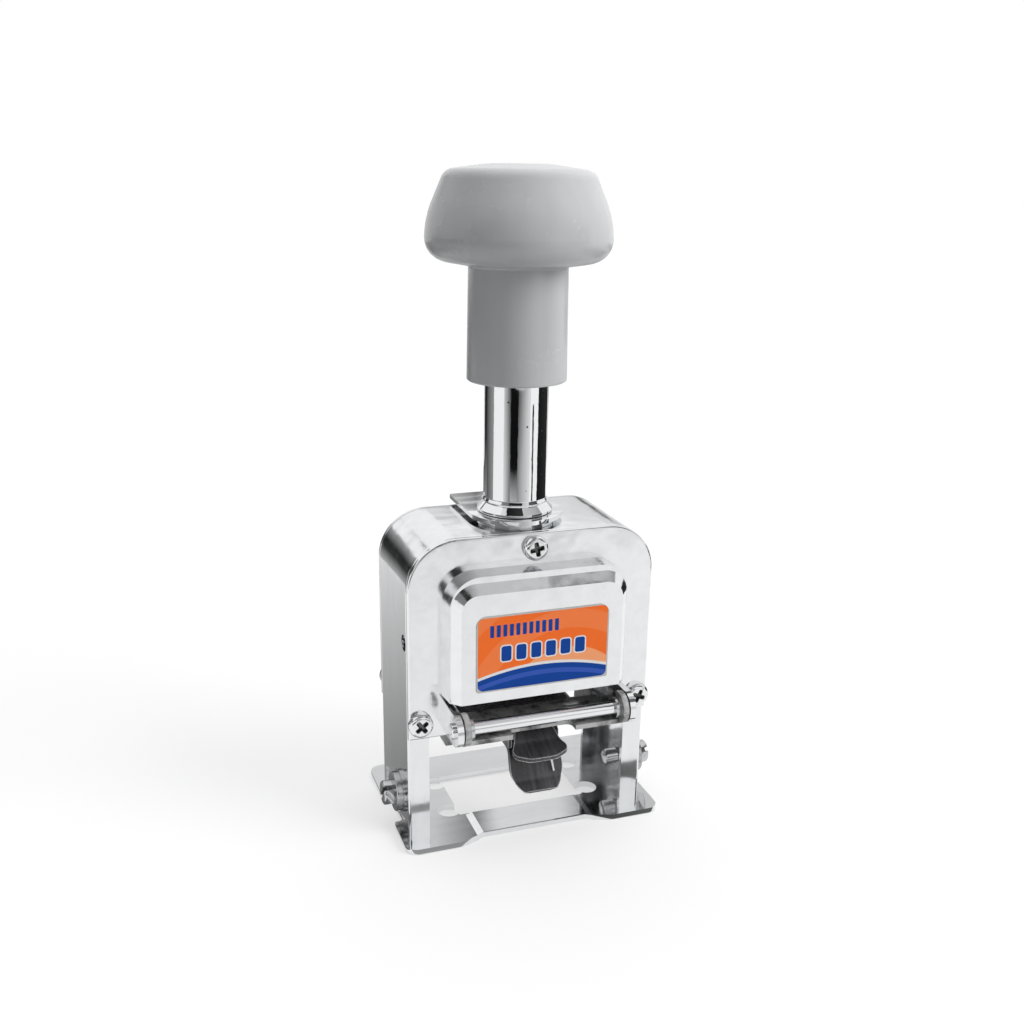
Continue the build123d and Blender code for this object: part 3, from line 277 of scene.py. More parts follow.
def head_profile(radius, height, edge, shank, grip, rings=26, bends=8):
    """A round-edged head on a shank: fine rings over its top, then its side, its seat and the shank."""
    flat = radius - edge
    points = [(0.0, height)]
    points += [(flat * step / rings, height) for step in range(1, rings + 1)]
    for step in range(1, bends + 1):
        turn = math.pi / 2 * step / bends
        points.append((flat + edge * math.sin(turn), height - edge + edge * math.cos(turn)))
    points += [(radius, 0.0), (radius, 0.0), (shank, 0.0), (shank, -grip),
               (shank * 0.7, -grip * shank_point), (0.0, -grip * shank_point)]
    return points


def cross_sink(reach, half_width, depth):
    """A cross recess: two tapered slots with sloped ends and a small bowl where they meet."""
    def sink(x, y):
        away = math.hypot(x, y)
        across = min(abs(x), abs(y))
        slot = 1 - smooth_step(across, half_width * (1.1 - 0.3 * away / reach), half_width * 1.6)
        end = 1 - smooth_step(away, reach * 0.62, reach)
        bowl = 1 - smooth_step(away, half_width, half_width * 2.6)
        return depth * max(slot * end, bowl * 0.8)
    return sink


def place(name, mesh, spot, out, turn, body, slot, *replaced):
    """A piece from a mesh made along Z: turned about its axis, aimed along out, and put on its spot."""
    made = in_scene(name, mesh)
    aim = Vector(out).to_track_quat("Z", "Y").to_matrix().to_4x4()
    mesh.transform(Matrix.Translation(spot) @ aim @ Matrix.Rotation(math.radians(turn), 4, "Z"))
    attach(made, body)
    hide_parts(*replaced)


nickel_screw = finish("nickelled screw", "bright_chrome", gloss=0.12, cloud=0.12, wave=0.04, grain=0.04)
# A dark material for the faces deep in the cross recess and the stud slot: painted shade, standing for the
# recess's own shadow.
painted_recess_shade = finish("painted shade in recess", "bright_chrome", colour=(0.13, 0.13, 0.13, 1), gloss=0.3, cloud=0.2,
                      wave=0.1, grain=0.2)
screw_profile = head_profile(screw_head_radius, screw_head_height, screw_head_round,
                             screw_shank_radius, cover_grip)
for side, way, node in (("front", -1, "front_cover_screws"), ("back", 1, "back_cover_screws")):
    for count, (x, z, turn) in enumerate(screw_places):
        mesh = spin(f"{side}_screw", screw_profile, turned_sides,
                    cross_sink(cross_reach, cross_half_width, cross_depth), nickel_screw, painted_recess_shade)
        place(f"{side}_cover_screw_{count + 1}", mesh, (x, way * cover_face, z), (0, way, 0), turn,
              "frame", "bright_chrome", node)

# ---- Label ----
# A thin printed plate stuck on the raised box: orange above with paler rings, a white line, and blue below.
# A row of six plain windows and a row of bars stand where such a plate has its print.

label_low, label_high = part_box("label_plate")
label_face = finish("printed foil", "label_foil", metallic=0.0, gloss=0.42, cloud=0.06, wave=0.02, tone=0.02)
label_face.node_tree.nodes["Principled BSDF"].inputs["Specular IOR Level"].default_value = 0.2
dress(label_face, "label_plate")


def band(tree, source, low, high, soft):
    """1 where the source lies between low and high, with soft ends."""
    up = ramp(tree, source, low - soft, low + soft)
    down = ramp(tree, source, high - soft, high + soft, 1.0, 0.0)
    return math_node(tree, "MULTIPLY", up, down)


def length_of(tree, first, second):
    """How long a step is that goes first one way and second across it."""
    return math_node(tree, "SQRT", math_node(tree, "ADD", math_node(tree, "MULTIPLY", first, first),
                                             math_node(tree, "MULTIPLY", second, second)))


def round_bar_group():
    """A rounded bar printed about (0, 0): half sizes and corner radius in, its mask and its outline's out."""
    tree, given, out = group_tree(
        "printed round bar",
        [("Across", "Float", 0.0), ("Up", "Float", 0.0), ("Half Width", "Float", mm),
         ("Half Height", "Float", mm), ("Round", "Float", 0.3 * mm), ("Outline", "Float", 0.3 * mm)],
        [("Bar", "Float"), ("Rim", "Float")])
    reach = []
    for place_in, half in (("Across", "Half Width"), ("Up", "Half Height")):
        size = math_node(tree, "SUBTRACT", given[half], given["Round"])
        past = math_node(tree, "SUBTRACT", math_node(tree, "ABSOLUTE", given[place_in]), size)
        reach.append(math_node(tree, "MAXIMUM", past, 0.0))
    past = math_node(tree, "SUBTRACT", length_of(tree, *reach), given["Round"])
    soft = 0.04 * mm
    put_out(tree, out, Bar=ramp(tree, past, soft, -soft),
            Rim=ramp(tree, math_node(tree, "SUBTRACT", past, given["Outline"]), soft, -soft))
    return tree


def over(tree, mask, below, above):
    """Lays one colour over another where the mask is 1."""
    return add(tree, "Mix", {0: mask, 6: below, 7: above}, data_type="RGBA").outputs[2]


def print_label(material):
    """The printed design, in the material's own tree."""
    orange, pale_orange = (1.0, 0.175, 0.02, 1), (1.0, 0.40, 0.18, 1)
    white, blue, mid_blue = (0.86, 0.86, 0.85, 1), (0.0, 0.055, 0.33, 1), (0.035, 0.10, 0.48, 1)
    tree = material.node_tree
    where = add(tree, "SeparateXYZ", {0: add(tree, "TexCoord").outputs["Object"]}).outputs
    across = where[0]
    middle = (label_low.z + label_high.z) / 2
    up = math_node(tree, "SUBTRACT", where[2], middle)
    half_width = (label_high.x - label_low.x) / 2
    half_height = (label_high.z - label_low.z) / 2

    ring_centre = (6.0 * mm, -17.0 * mm)
    ring_pitch, ring_start, ring_full = 9.5 * mm, 2.3 * mm, 2.5 * mm
    paler_beyond, faint = 20.0 * mm, 0.25
    ray = [math_node(tree, "SUBTRACT", spot, centre) for spot, centre in zip((across, up), ring_centre)]
    away = length_of(tree, *ray)
    rings = ramp(tree, math_node(tree, "PINGPONG", away, ring_pitch / 2), ring_start, ring_full)
    inner = ramp(tree, away, paler_beyond, paler_beyond + 0.1 * mm, 1.0, faint)
    colour = over(tree, math_node(tree, "MULTIPLY", rings, inner), orange, pale_orange)

    edge_curve, soft = 9.0, 0.05 * mm
    line_top, blue_top, wave_top, wave_foot = -3.4 * mm, -4.1 * mm, -5.4 * mm, -6.6 * mm
    curve = math_node(tree, "MULTIPLY", math_node(tree, "MULTIPLY", across, across), edge_curve)
    edge = math_node(tree, "ADD", up, curve)
    colour = over(tree, ramp(tree, edge, line_top + soft, line_top - soft), colour, white)
    colour = over(tree, ramp(tree, edge, blue_top + soft, blue_top - soft), colour, blue)
    colour = over(tree, band(tree, edge, wave_foot, wave_top, soft), colour, mid_blue)

    windows, window_pitch, window_up = 6, 3.7 * mm, -0.2 * mm
    row = math_node(tree, "WRAP", math_node(tree, "ADD", across, window_pitch / 2),
                    window_pitch / 2, -window_pitch / 2)
    bars = add(tree, "Group", {"Across": row, "Up": math_node(tree, "SUBTRACT", up, window_up),
                               "Half Width": 1.25 * mm, "Half Height": 1.9 * mm, "Round": 0.6 * mm,
                               "Outline": 0.32 * mm}, node_tree=round_bar)
    in_row = band(tree, across, -windows * window_pitch / 2, windows * window_pitch / 2, soft)
    colour = over(tree, math_node(tree, "MULTIPLY", bars.outputs["Rim"], in_row), colour, white)
    colour = over(tree, math_node(tree, "MULTIPLY", bars.outputs["Bar"], in_row), colour, blue)

    bar_pitch, bar_up = 1.6 * mm, 5.6 * mm
    bar_left, bar_right = -8.5 * bar_pitch, 2.5 * bar_pitch
    row = math_node(tree, "WRAP", across, bar_pitch / 2, -bar_pitch / 2)
    bars = add(tree, "Group", {"Across": row, "Up": math_node(tree, "SUBTRACT", up, bar_up),
                               "Half Width": 0.5 * mm, "Half Height": 1.5 * mm, "Round": 0.25 * mm},
               node_tree=round_bar)
    in_row = band(tree, across, bar_left, bar_right, soft)
    colour = over(tree, math_node(tree, "MULTIPLY", bars.outputs["Bar"], in_row), colour, blue)

    margin = 0.35 * mm
    field = add(tree, "Group", {"Across": across, "Up": up, "Half Width": half_width - margin,
                                "Half Height": half_height - margin, "Round": 1.4 * mm}, node_tree=round_bar)
    edge_grey = (0.55, 0.55, 0.54, 1)
    colour = over(tree, field.outputs["Bar"], edge_grey, colour)
    surface = next(node for node in tree.nodes if node.type == "GROUP" and node.node_tree == made_surface)
    tree.links.new(colour, surface.inputs["Colour"])


round_bar = round_bar_group()
print_label(label_face)

# ---- Trip studs ----
# A slotted steel stud through each leg, with a loose disc and a washer outside the leg and a nut inside.
# They carry the arm that trips the inking; turned, and nickel plated.

stud_centre = (-6.0 * mm, 9.3 * mm)
stud_head_radius = 3.0 * mm
stud_head_length = 2.7 * mm
stud_head_round = 0.5 * mm
stud_radius = 2.0 * mm
slot_half_width = 0.38 * mm
slot_depth = 0.9 * mm


def slot_sink(half_width, depth):
    """A straight screwdriver slot with a soft edge."""
    def sink(x, y):
        return depth * (1 - smooth_step(abs(y), half_width, half_width * 1.5))
    return sink


nickel_turned = finish("nickel on turned steel", "plain_steel", gloss=0.16, cloud=0.18, wave=0.05,
                       wave_size=160.0, grain=0.06)
stud_inner_end = min(abs(point.co.x) for point in nodes["trip_studs"].data.vertices)
stud_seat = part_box("trip_studs")[1].x - stud_head_length
stud_profile = head_profile(stud_head_radius, stud_head_length, stud_head_round, stud_radius,
                            (stud_seat - stud_inner_end) / shank_point)
for side, way, turn in (("left", -1, 50), ("right", 1, -35)):
    mesh = spin("stud", stud_profile, turned_sides, slot_sink(slot_half_width, slot_depth),
                nickel_turned, painted_recess_shade)
    place(f"trip_stud_{side}", mesh, (way * stud_seat, *stud_centre), (way, 0, 0), turn,
          "frame", "bright_chrome", "trip_studs")
# The discs and washers get a darker colour than plain steel: painted dark reflection, for the dark
# surroundings their bright metal mirrors.
disc_steel_painted_dark = finish("steel disc with painted dark reflection", "plain_steel", colour=(0.46, 0.46, 0.47, 1), gloss=0.12, cloud=0.3,
                      wave=0.08, wave_size=220.0, grain=0.1)
dress(disc_steel_painted_dark, "stud_discs", "stud_washers")
dress(nickel_turned, "stud_nuts")

# ---- Neck, guide tube and latch ----
# A turned collar on top of the arch holds the tube that guides the plunger, and a nut grips it from below.
# The latch plate slides under the collar, on a washer. All are mirror-bright, with a few dark specks.

def speck_group():
    """Small dark pits scattered over a bright surface."""
    tree, given, out = group_tree(
        "dark specks",
        [("Colour", "Color", (0.8, 0.8, 0.8, 1)), ("Roughness", "Float", 0.05), ("Size", "Float", 900.0),
         ("Rarity", "Float", 0.12)],
        [("Colour", "Color"), ("Roughness", "Float")])
    place_on = add(tree, "TexCoord").outputs["Object"]
    cells = add(tree, "TexVoronoi", {"Vector": place_on, "Scale": given["Size"]})
    chosen = add(tree, "SeparateXYZ", {0: cells.outputs["Color"]}).outputs[0]
    few = math_node(tree, "LESS_THAN", chosen, given["Rarity"])
    dot = ramp(tree, cells.outputs["Distance"], 0.22, 0.12)
    mask = math_node(tree, "MULTIPLY", few, dot)
    put_out(tree, out, Colour=over(tree, mask, given["Colour"], (0.03, 0.03, 0.03, 1)),
            Roughness=math_node(tree, "MULTIPLY_ADD", mask, 0.4, given["Roughness"]))
    return tree


def pass_through(material, group, **values):
    """Puts a group between what feeds the shader and the shader, with the group's own values."""
    tree = material.node_tree
    shader = tree.nodes["Principled BSDF"]
    middle = placed_group(tree, group, **values)
    for label, socket in shader_sockets.items():
        if label not in middle.outputs:
            continue
        if label in middle.inputs and shader.inputs[socket].is_linked:
            tree.links.new(shader.inputs[socket].links[0].from_socket, middle.inputs[label])
        tree.links.new(middle.outputs[label], shader.inputs[socket])


dark_specks = speck_group()
chrome_tube = finish("mirror chrome on tube", "bright_chrome", gloss=0.03, cloud=0.04, wave=0.05,
                     wave_size=120.0, stretch=(1, 1, 0.12))
pass_through(chrome_tube, dark_specks, size=700.0, rarity=0.05)
chrome_collar = finish("mirror chrome on turned steel", "bright_chrome", gloss=0.03, cloud=0.04, wave=0.05,
                       wave_size=200.0)
pass_through(chrome_collar, dark_specks, size=500.0, rarity=0.06)
dress(chrome_tube, "guide_tube")
dress(chrome_collar, "tube_collar", "latch_washer")
dress(chrome_sheet, "latch_plate")
dress(nickel_turned, "neck_nut")

# ---- Knob ----
# A mushroom head and its skirt, moulded in one piece from grey plastic, with a brass insert for the stem.
# Faint flow marks run up the skirt, and the head has soft scuffs where the palm strikes it.

def flow_group():
    """Marks of moulding and use: streaks along Z, and patches rubbed to another gloss."""
    tree, given, out = group_tree(
        "flow marks",
        [("Colour", "Color", (0.5, 0.5, 0.5, 1)), ("Roughness", "Float", 0.3), ("Streak", "Float", 0.03),
         ("Scuff", "Float", 0.12)],
        [("Colour", "Color"), ("Roughness", "Float")])
    place_on = add(tree, "TexCoord").outputs["Object"]
    upright, flattened = drawn_out(tree, place_on, (1, 1, 0.02)), drawn_out(tree, place_on, (0.6, 0.6, 1.5))
    streak = ramp(tree, speckle(tree, upright, 420.0, 3.0), 0.35, 0.65, -1.0, 1.0)
    scuff = ramp(tree, speckle(tree, flattened, 70.0, 2.0, 0.4), 0.35, 0.80)
    tone = math_node(tree, "MULTIPLY_ADD", streak, given["Streak"], 1.0)
    put_out(tree, out, Colour=toned(tree, given["Colour"], tone),
            Roughness=math_node(tree, "MULTIPLY_ADD", scuff, given["Scuff"], given["Roughness"]))
    return tree


moulded_grey = finish("moulded grey plastic", "knob_grey", metallic=0.0, gloss=0.24, cloud=0.02, wave=0.03,
                      wave_size=60.0, grain=0.04, tone=0.012)
pass_through(moulded_grey, flow_group(), streak=0.012, scuff=0.04)
dress(moulded_grey, "knob")
turned_brass = finish("turned brass", "brass", gloss=0.22, cloud=0.12, wave=0.03, wave_size=120.0, grain=0.1)
dress(turned_brass, "knob_insert")

# ---- Plunger stem and main spring ----
# A ground steel stem joins the knob to the bridge. The spring round it, wound from hard wire with closed
# ends, stands on the tube's floor and pushes the seat under the knob.

spring_radius = 5.45 * mm
spring_wire_radius = 0.55 * mm
spring_turns = 10
spring_closed_turns = 1.5
spring_sides = 10
spring_steps = 28

nickel_ground = finish("nickel on ground steel", "plain_steel", gloss=0.12, cloud=0.1, wave=0.03,
                       wave_size=200.0, grain=0.05, stretch=(1, 1, 0.2))
dress(nickel_ground, "stem", "lock_collar")
dress(turned_brass, "spring_seat")
spring_wire = finish("hard-drawn wire", "spring_wire", gloss=0.2, cloud=0.14, wave=0.04, wave_size=400.0,
                     grain=0.1)
coil_low, coil_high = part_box("main_spring")


def coil_mesh(name, low, high, radius, wire, turns, closed, sides, steps):
    """A wire wound round Z from low to high, with its end turns closed."""
    free = (high - low) - 2 * wire
    lead = 2 * wire * 1.02
    pitch = (free - 2 * closed * lead) / (turns - 2 * closed)
    count = int(turns * steps)
    mesh = bmesh.new()
    rings = []
    for step in range(count + 1):
        turn = turns * step / count
        rise = lead * min(turn, closed) + lead * max(0.0, turn - (turns - closed))
        rise += pitch * min(max(turn - closed, 0.0), turns - 2 * closed)
        angle = 2 * math.pi * turn
        outward = Vector((math.cos(angle), math.sin(angle), 0))
        middle = outward * radius + Vector((0, 0, low + wire + rise))
        ring = []
        for side in range(sides):
            tilt = 2 * math.pi * side / sides
            ring.append(mesh.verts.new(middle + outward * wire * math.cos(tilt)
                                       + Vector((0, 0, wire * math.sin(tilt)))))
        rings.append(ring)
    for first, second in zip(rings, rings[1:]):
        for side in range(sides):
            after = (side + 1) % sides
            mesh.faces.new((first[side], second[side], second[after], first[after]))
    mesh.faces.new(rings[0])
    mesh.faces.new(list(reversed(rings[-1])))
    bmesh.ops.recalc_face_normals(mesh, faces=mesh.faces)
    for face in mesh.faces:
        face.smooth = len(face.verts) == 4
    return settled(name, mesh)


coil = in_scene("main_spring_coil", coil_mesh(
    "main_spring_coil", coil_low.z, coil_high.z, spring_radius, spring_wire_radius, spring_turns,
    spring_closed_turns, spring_sides, spring_steps))
coil.data.materials.append(spring_wire)
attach(coil, "frame")
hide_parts("main_spring")
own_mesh(coil)

# ---- Bridge and wheel bracket ----
# The yoke on the stem's lower end slides between the legs and carries the bracket with its two cheeks.
# Both are pressed from steel and dull-nickelled, and one nut holds them.

nickel_pressed = finish("dull nickel on pressed steel", "plain_steel", gloss=0.26, cloud=0.2, wave=0.08,
                        wave_size=120.0, grain=0.08)
dress(nickel_pressed, "bridge", "wheel_bracket")
dress(nickel_turned, "bridge_nut")

# ---- Dial and selector ----
# A black enamelled plate behind the wheels, with pale numerals that say how often a number repeats.
# The plated pointer swings on a rivet and has a button for the finger.

dial_numerals = "01234"
dial_numeral_height = 1.7 * mm
dial_reach = 9.4 * mm
dial_step = math.radians(20)
dial_ink_height = 0.03 * mm
pivot_below_lever_top = 2.6 * mm
numeral_curve_steps = 3


def numeral_mesh(figure, height, thick):
    """A plain numeral as a thin solid about the origin, facing +Z."""
    text = bpy.data.curves.new("numeral", "FONT")
    text.body = figure
    text.align_x = "CENTER"
    text.resolution_u = numeral_curve_steps
    text.extrude = thick / 2
    holder = bpy.data.objects.new("numeral", text)
    mesh = bpy.data.meshes.new_from_object(holder)
    bpy.data.objects.remove(holder)
    bpy.data.curves.remove(text)
    lows = [min(point.co[axis] for point in mesh.vertices) for axis in range(3)]
    highs = [max(point.co[axis] for point in mesh.vertices) for axis in range(3)]
    scale = height / (highs[1] - lows[1])
    middle = [(low + high) / 2 for low, high in zip(lows, highs)]
    for point in mesh.vertices:
        point.co.x = (point.co.x - middle[0]) * scale
        point.co.y = (point.co.y - middle[1]) * scale
        point.co.z -= middle[2]
    return mesh


def gather(name, parts, body, material):
    """One piece from several placed meshes."""
    mesh = bmesh.new()
    for part, matrix in parts:
        start = len(mesh.verts)
        mesh.from_mesh(part)
        mesh.verts.ensure_lookup_table()
        bmesh.ops.transform(mesh, matrix=matrix, verts=mesh.verts[start:])
    made = in_scene(name, settled(name, mesh))
    made.data.materials.append(material)
    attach(made, body)


enamel = finish("black enamel", "dial_enamel", metallic=0.0, gloss=0.18, cloud=0.12, wave=0.05,
                wave_size=100.0)
pale_ink = finish("pale dial ink", "dial_enamel", metallic=0.0, colour=(0.72, 0.71, 0.66, 1), gloss=0.45,
                  cloud=0.1, wave=0.03, grain=0.1)
zinc_bright = finish("bright zinc plate", "zinc_steel", gloss=0.24, cloud=0.2, wave=0.06, grain=0.08)
dress(enamel, "dial_plate")
dress(zinc_bright, "selector_lever")
dress(nickel_turned, "selector_rivet")
dial_face_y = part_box("dial_plate")[1].y
pivot_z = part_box("selector_lever")[1].z - pivot_below_lever_top
to_the_back = Matrix(((-1, 0, 0, 0), (0, 0, 1, 0), (0, 1, 0, 0), (0, 0, 0, 1)))
dial_parts = []
for count, figure in enumerate(dial_numerals):
    swing = (count - (len(dial_numerals) - 1) / 2) * dial_step
    spot = Matrix.Translation((dial_reach * math.sin(swing), dial_face_y + dial_ink_height / 2,
                               pivot_z - dial_reach * math.cos(swing)))
    dial_parts.append((numeral_mesh(figure, dial_numeral_height, dial_ink_height), spot @ to_the_back))
gather("dial_numerals", dial_parts, "plunger", pale_ink)

# ---- Number wheels ----
# Six cast rings, each with ten type faces and a ten-tooth ratchet, free on one shaft.
# The raised numerals are cast mirror-fashion so that they print right way round; they are black with ink.

def stain_group():
    """Dried ink that has crept over a surface in blots, matt where it lies thick."""
    tree, given, out = group_tree(
        "ink stain",
        [("Colour", "Color", (0.6, 0.6, 0.6, 1)), ("Roughness", "Float", 0.3),
         ("Ink", "Color", (0.015, 0.014, 0.02, 1)), ("Amount", "Float", 0.4), ("Size", "Float", 260.0),
         ("Edge", "Float", 0.08)],
        [("Colour", "Color"), ("Roughness", "Float")])
    place_on = add(tree, "TexCoord").outputs["Object"]
    blots = speckle(tree, place_on, given["Size"], 5.0, 0.62)
    limit = ramp(tree, given["Amount"], 0.0, 1.0, 0.72, 0.30)
    mask = ramp(tree, math_node(tree, "SUBTRACT", blots, limit), 0.0, given["Edge"])
    put_out(tree, out, Colour=over(tree, mask, given["Colour"], given["Ink"]),
            Roughness=math_node(tree, "MULTIPLY_ADD", mask, 0.18, given["Roughness"]))
    return tree


wheel_low, wheel_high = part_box("number_wheel_1")
wheel_axis_z = (wheel_low.z + wheel_high.z) / 2
wheel_radius = 11.0 * mm
type_width = 2.8 * mm
type_faces = 10
type_numeral_height = 4.0 * mm
type_numeral_width = 2.3 * mm
type_relief = 0.1 * mm

ink_stain = stain_group()
cast_type = finish("cast type metal", "type_metal", colour=(0.50, 0.49, 0.46, 1), gloss=0.34, cloud=0.2,
                   wave=0.05, wave_size=300.0, grain=0.2)
pass_through(cast_type, ink_stain, amount=0.42, size=420.0)
inked_type = finish("inked type", "type_metal", metallic=0.0, colour=(0.018, 0.016, 0.022, 1), gloss=0.3,
                    cloud=0.2, wave=0.05, grain=0.2)
figures = [numeral_mesh(str(count), type_numeral_height, 2 * type_relief) for count in range(type_faces)]
for mesh in figures:
    width = max(point.co.x for point in mesh.vertices) - min(point.co.x for point in mesh.vertices)
    for point in mesh.vertices:
        point.co.x *= min(1.0, type_numeral_width / width)
shaft_line = Matrix.Translation((0, 0, wheel_axis_z))
wheel_names = sorted(name for name in nodes if name.startswith("number_wheel_"))
for name in wheel_names:
    dress(cast_type, name)
    middle_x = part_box(name)[0].x + type_width / 2
    parts = []
    for count, mesh in enumerate(figures):
        turn = Matrix.Rotation(2 * math.pi * count / type_faces, 4, "X")
        face = Matrix.Translation((middle_x, 0, -wheel_radius))
        parts.append((mesh, shaft_line @ turn @ face))
    gather(name.replace("number_wheel", "type_figures"), parts, name.replace("number_wheel", "wheel"),
           inked_type)

# ---- Wheel shaft, combs and rocker ----
# The shaft and its nuts hold the wheels between the cheeks. The pawl comb swings on the rocker and turns
# them, and the detent comb keeps them in step. Blanked and turned parts, nickelled, oiled and a little inky.

nickel_oiled = finish("oiled nickel on blanked steel", "plain_steel", gloss=0.22, cloud=0.22, wave=0.06,
                      wave_size=160.0, grain=0.1)
pass_through(nickel_oiled, ink_stain, amount=0.2, size=300.0)
dress(nickel_turned, "wheel_shaft", "shaft_spacers", "shaft_nuts", "pawl_screws")
dress(nickel_oiled, "detent_comb", "rocker_frame", "pawl_comb", "drive_arm")
dress(spring_wire, "rocker_spring")

# ---- Inking arm and pad rod ----
# A zinc-plated channel that hangs on the rod in front and swings the pad away as the plunger goes down.
# Ink has run over its web and flanks. The rod turns in two steel bushes and has a ring on each end.

zinc_sheet = finish("zinc-plated sheet", "zinc_steel", metallic=0.4, colour=(0.50, 0.50, 0.50, 1), gloss=0.30,
                    cloud=0.15, wave=0.08, grain=0.08)
pass_through(zinc_sheet, ink_stain, amount=0.66, size=240.0, edge=0.26)
chrome_rod = finish("mirror chrome on rod", "bright_chrome", gloss=0.05, cloud=0.05, wave=0.06,
                    wave_size=260.0, stretch=(0.15, 1, 1))
dress(zinc_sheet, "ink_arm")
dress(nickel_turned, "arm_bushes")
dress(chrome_rod, "pad_rod")
dress(nickel_screw, "rod_ends")

# ---- Pad tray and felt pad ----
# A small zinc-plated tray riveted to the lower grip, and the block of felt that sits in it soaked with ink.
# The felt is crowned, fuzzy at its edges, and dented in a row where the type has struck it.

tray_sheet = finish("zinc-plated tray", "zinc_steel", colour=(0.52, 0.52, 0.52, 1), gloss=0.30, cloud=0.2,
                    wave=0.08, grain=0.08)
pass_through(tray_sheet, ink_stain, amount=0.60, size=240.0, edge=0.36)
dress(tray_sheet, "pad_tray")
dress(nickel_turned, "tray_rivets", "grip_pin")

pad_low, pad_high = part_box("ink_pad")
pad_cells = (96, 40, 12)
pad_edge_round = 1.1 * mm
pad_crown = 0.12 * mm
pad_dent = 0.22 * mm
dent_half_width = (0.9 * mm, 1.6 * mm)
dent_half_depth = (1.9 * mm, 2.7 * mm)
dent_row_end = 12.6 * mm
pad_fuzz = 0.07 * mm
fuzz_size = 0.9 * mm


def felt_mesh(name):
    """A crowned block with soft edges, a row of dents on top and a napped skin."""
    mesh = bmesh.new()
    bmesh.ops.create_cube(mesh, size=1.0)
    for axis, cuts in enumerate(pad_cells):
        along = [edge for edge in mesh.edges
                 if abs((edge.verts[0].co - edge.verts[1].co)[axis]) > 1e-6
                 and max(abs((edge.verts[0].co - edge.verts[1].co)[other])
                         for other in range(3) if other != axis) < 1e-6]
        bmesh.ops.subdivide_edges(mesh, edges=along, cuts=cuts - 1, use_grid_fill=True)
    size = pad_high - pad_low
    middle = (pad_low + pad_high) / 2
    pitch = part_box("number_wheel_2")[0].x - wheel_low.x
    first = wheel_low.x + type_width / 2
    inset = pad_edge_round + pad_fuzz
    for point in mesh.verts:
        flat = Vector([point.co[axis] * size[axis] for axis in range(3)])
        core = Vector([min(max(flat[axis], -size[axis] / 2 + inset), size[axis] / 2 - inset)
                       for axis in range(3)])
        out = flat - core
        if out.length > 0:
            reach = max(abs(part) for part in out)
            out = out.normalized() * reach
        spot = core + out * (pad_edge_round / inset)
        if point.co.z > 0:
            x, y = spot.x + middle.x, spot.y + middle.y
            crown = (1 - (2 * spot.x / size.x) ** 4) * (1 - (2 * spot.y / size.y) ** 4)
            spot.z -= (1 - crown) * pad_crown * 2 * point.co.z
            column = abs((x - first + pitch / 2) % pitch - pitch / 2)
            dent = (1 - smooth_step(column, *dent_half_width)) * (1 - smooth_step(abs(y), *dent_half_depth))
            if abs(x) < dent_row_end:
                spot.z -= pad_dent * dent * smooth_step(point.co.z, 0.3, 0.5)
        nap = noise.noise((spot + middle) / fuzz_size) * pad_fuzz
        spot -= (out.normalized() if out.length > 0 else Vector((0, 0, 0))) * abs(nap)
        point.co = spot + middle
    for face in mesh.faces:
        face.smooth = True
    bmesh.ops.recalc_face_normals(mesh, faces=mesh.faces)
    return settled(name, mesh)


felt = finish("inked felt", "ink_felt", metallic=0.0, gloss=0.75, cloud=0.2, wave=0.5, wave_size=1500.0,
              grain=1.0, tone=0.35)
felt_shader = felt.node_tree.nodes["Principled BSDF"]
felt_shader.inputs["Sheen Weight"].default_value = 0.35
felt_shader.inputs["Sheen Roughness"].default_value = 0.6
pad = in_scene("felt_pad", felt_mesh("felt_pad"))
pad.data.materials.append(felt)
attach(pad, "pad_holder")
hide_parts("ink_pad")

# ---- Grips ----
# Two blackened steel tabs that pinch together to release the pad holder, hinged on a pin and kept apart by
# a small spring. The black has rubbed off their edges, and lighter streaks painted down them stand for
# streaky reflections.

def wear_group():
    """Bare bright metal along the edges of a coated piece, and lighter streaks along it: painted reflection.
    """
    tree, given, out = group_tree(
        "worn edge",
        [("Colour", "Color", (0.04, 0.04, 0.04, 1)), ("Roughness", "Float", 0.3),
         ("Bare", "Color", (0.6, 0.6, 0.6, 1)), ("Width", "Float", 0.4 * mm), ("Streak", "Float", 0.5)],
        [("Colour", "Color"), ("Roughness", "Float"), ("Metallic", "Float")])
    place_on = add(tree, "TexCoord").outputs["Object"]
    rounded = add(tree, "Bevel", {"Radius": given["Width"]}, samples=6).outputs[0]
    straight = add(tree, "NewGeometry").outputs["Normal"]
    even = add(tree, "VectorMath", {0: rounded, 1: straight}, operation="DOT_PRODUCT").outputs["Value"]
    worn = ramp(tree, even, 0.97, 0.80)
    broken = ramp(tree, speckle(tree, place_on, 700.0, 3.0, 0.6), 0.25, 0.40, 0.55, 1.0)
    mask = math_node(tree, "MULTIPLY", worn, broken)
    # Lighter streaks laid along the piece in its colour: painted reflection.
    reflection_streak_place = drawn_out(tree, place_on, (1, 0.08, 0.08))
    streak = ramp(tree, speckle(tree, reflection_streak_place, 520.0, 3.0, 0.55), 0.45, 0.70)
    tone = math_node(tree, "MULTIPLY_ADD", streak, given["Streak"], 1.0)
    put_out(tree, out, Colour=over(tree, mask, toned(tree, given["Colour"], tone), given["Bare"]),
            Roughness=math_node(tree, "MULTIPLY_ADD", mask, -0.08, given["Roughness"]),
            Metallic=math_node(tree, "MULTIPLY", mask, 0.4))
    return tree


blackened = finish("blackened steel", "black_steel", metallic=0.0, gloss=0.26, cloud=0.14, wave=0.08,
                   wave_size=150.0, grain=0.08, tone=0.25)
pass_through(blackened, wear_group(), bare=(0.8, 0.8, 0.8, 1), width=0.45 * mm, streak=1.6)
dress(blackened, "grip_lower", "grip_upper")
dress(spring_wire, "clip_spring")

# ---- Stage ----
# A white floor that runs out to the horizon, two broad soft lamps and a pale room. Round the machine stand
# dark and grey cards that only its bright metal sees, as in a studio, so that the metal shows its shape.

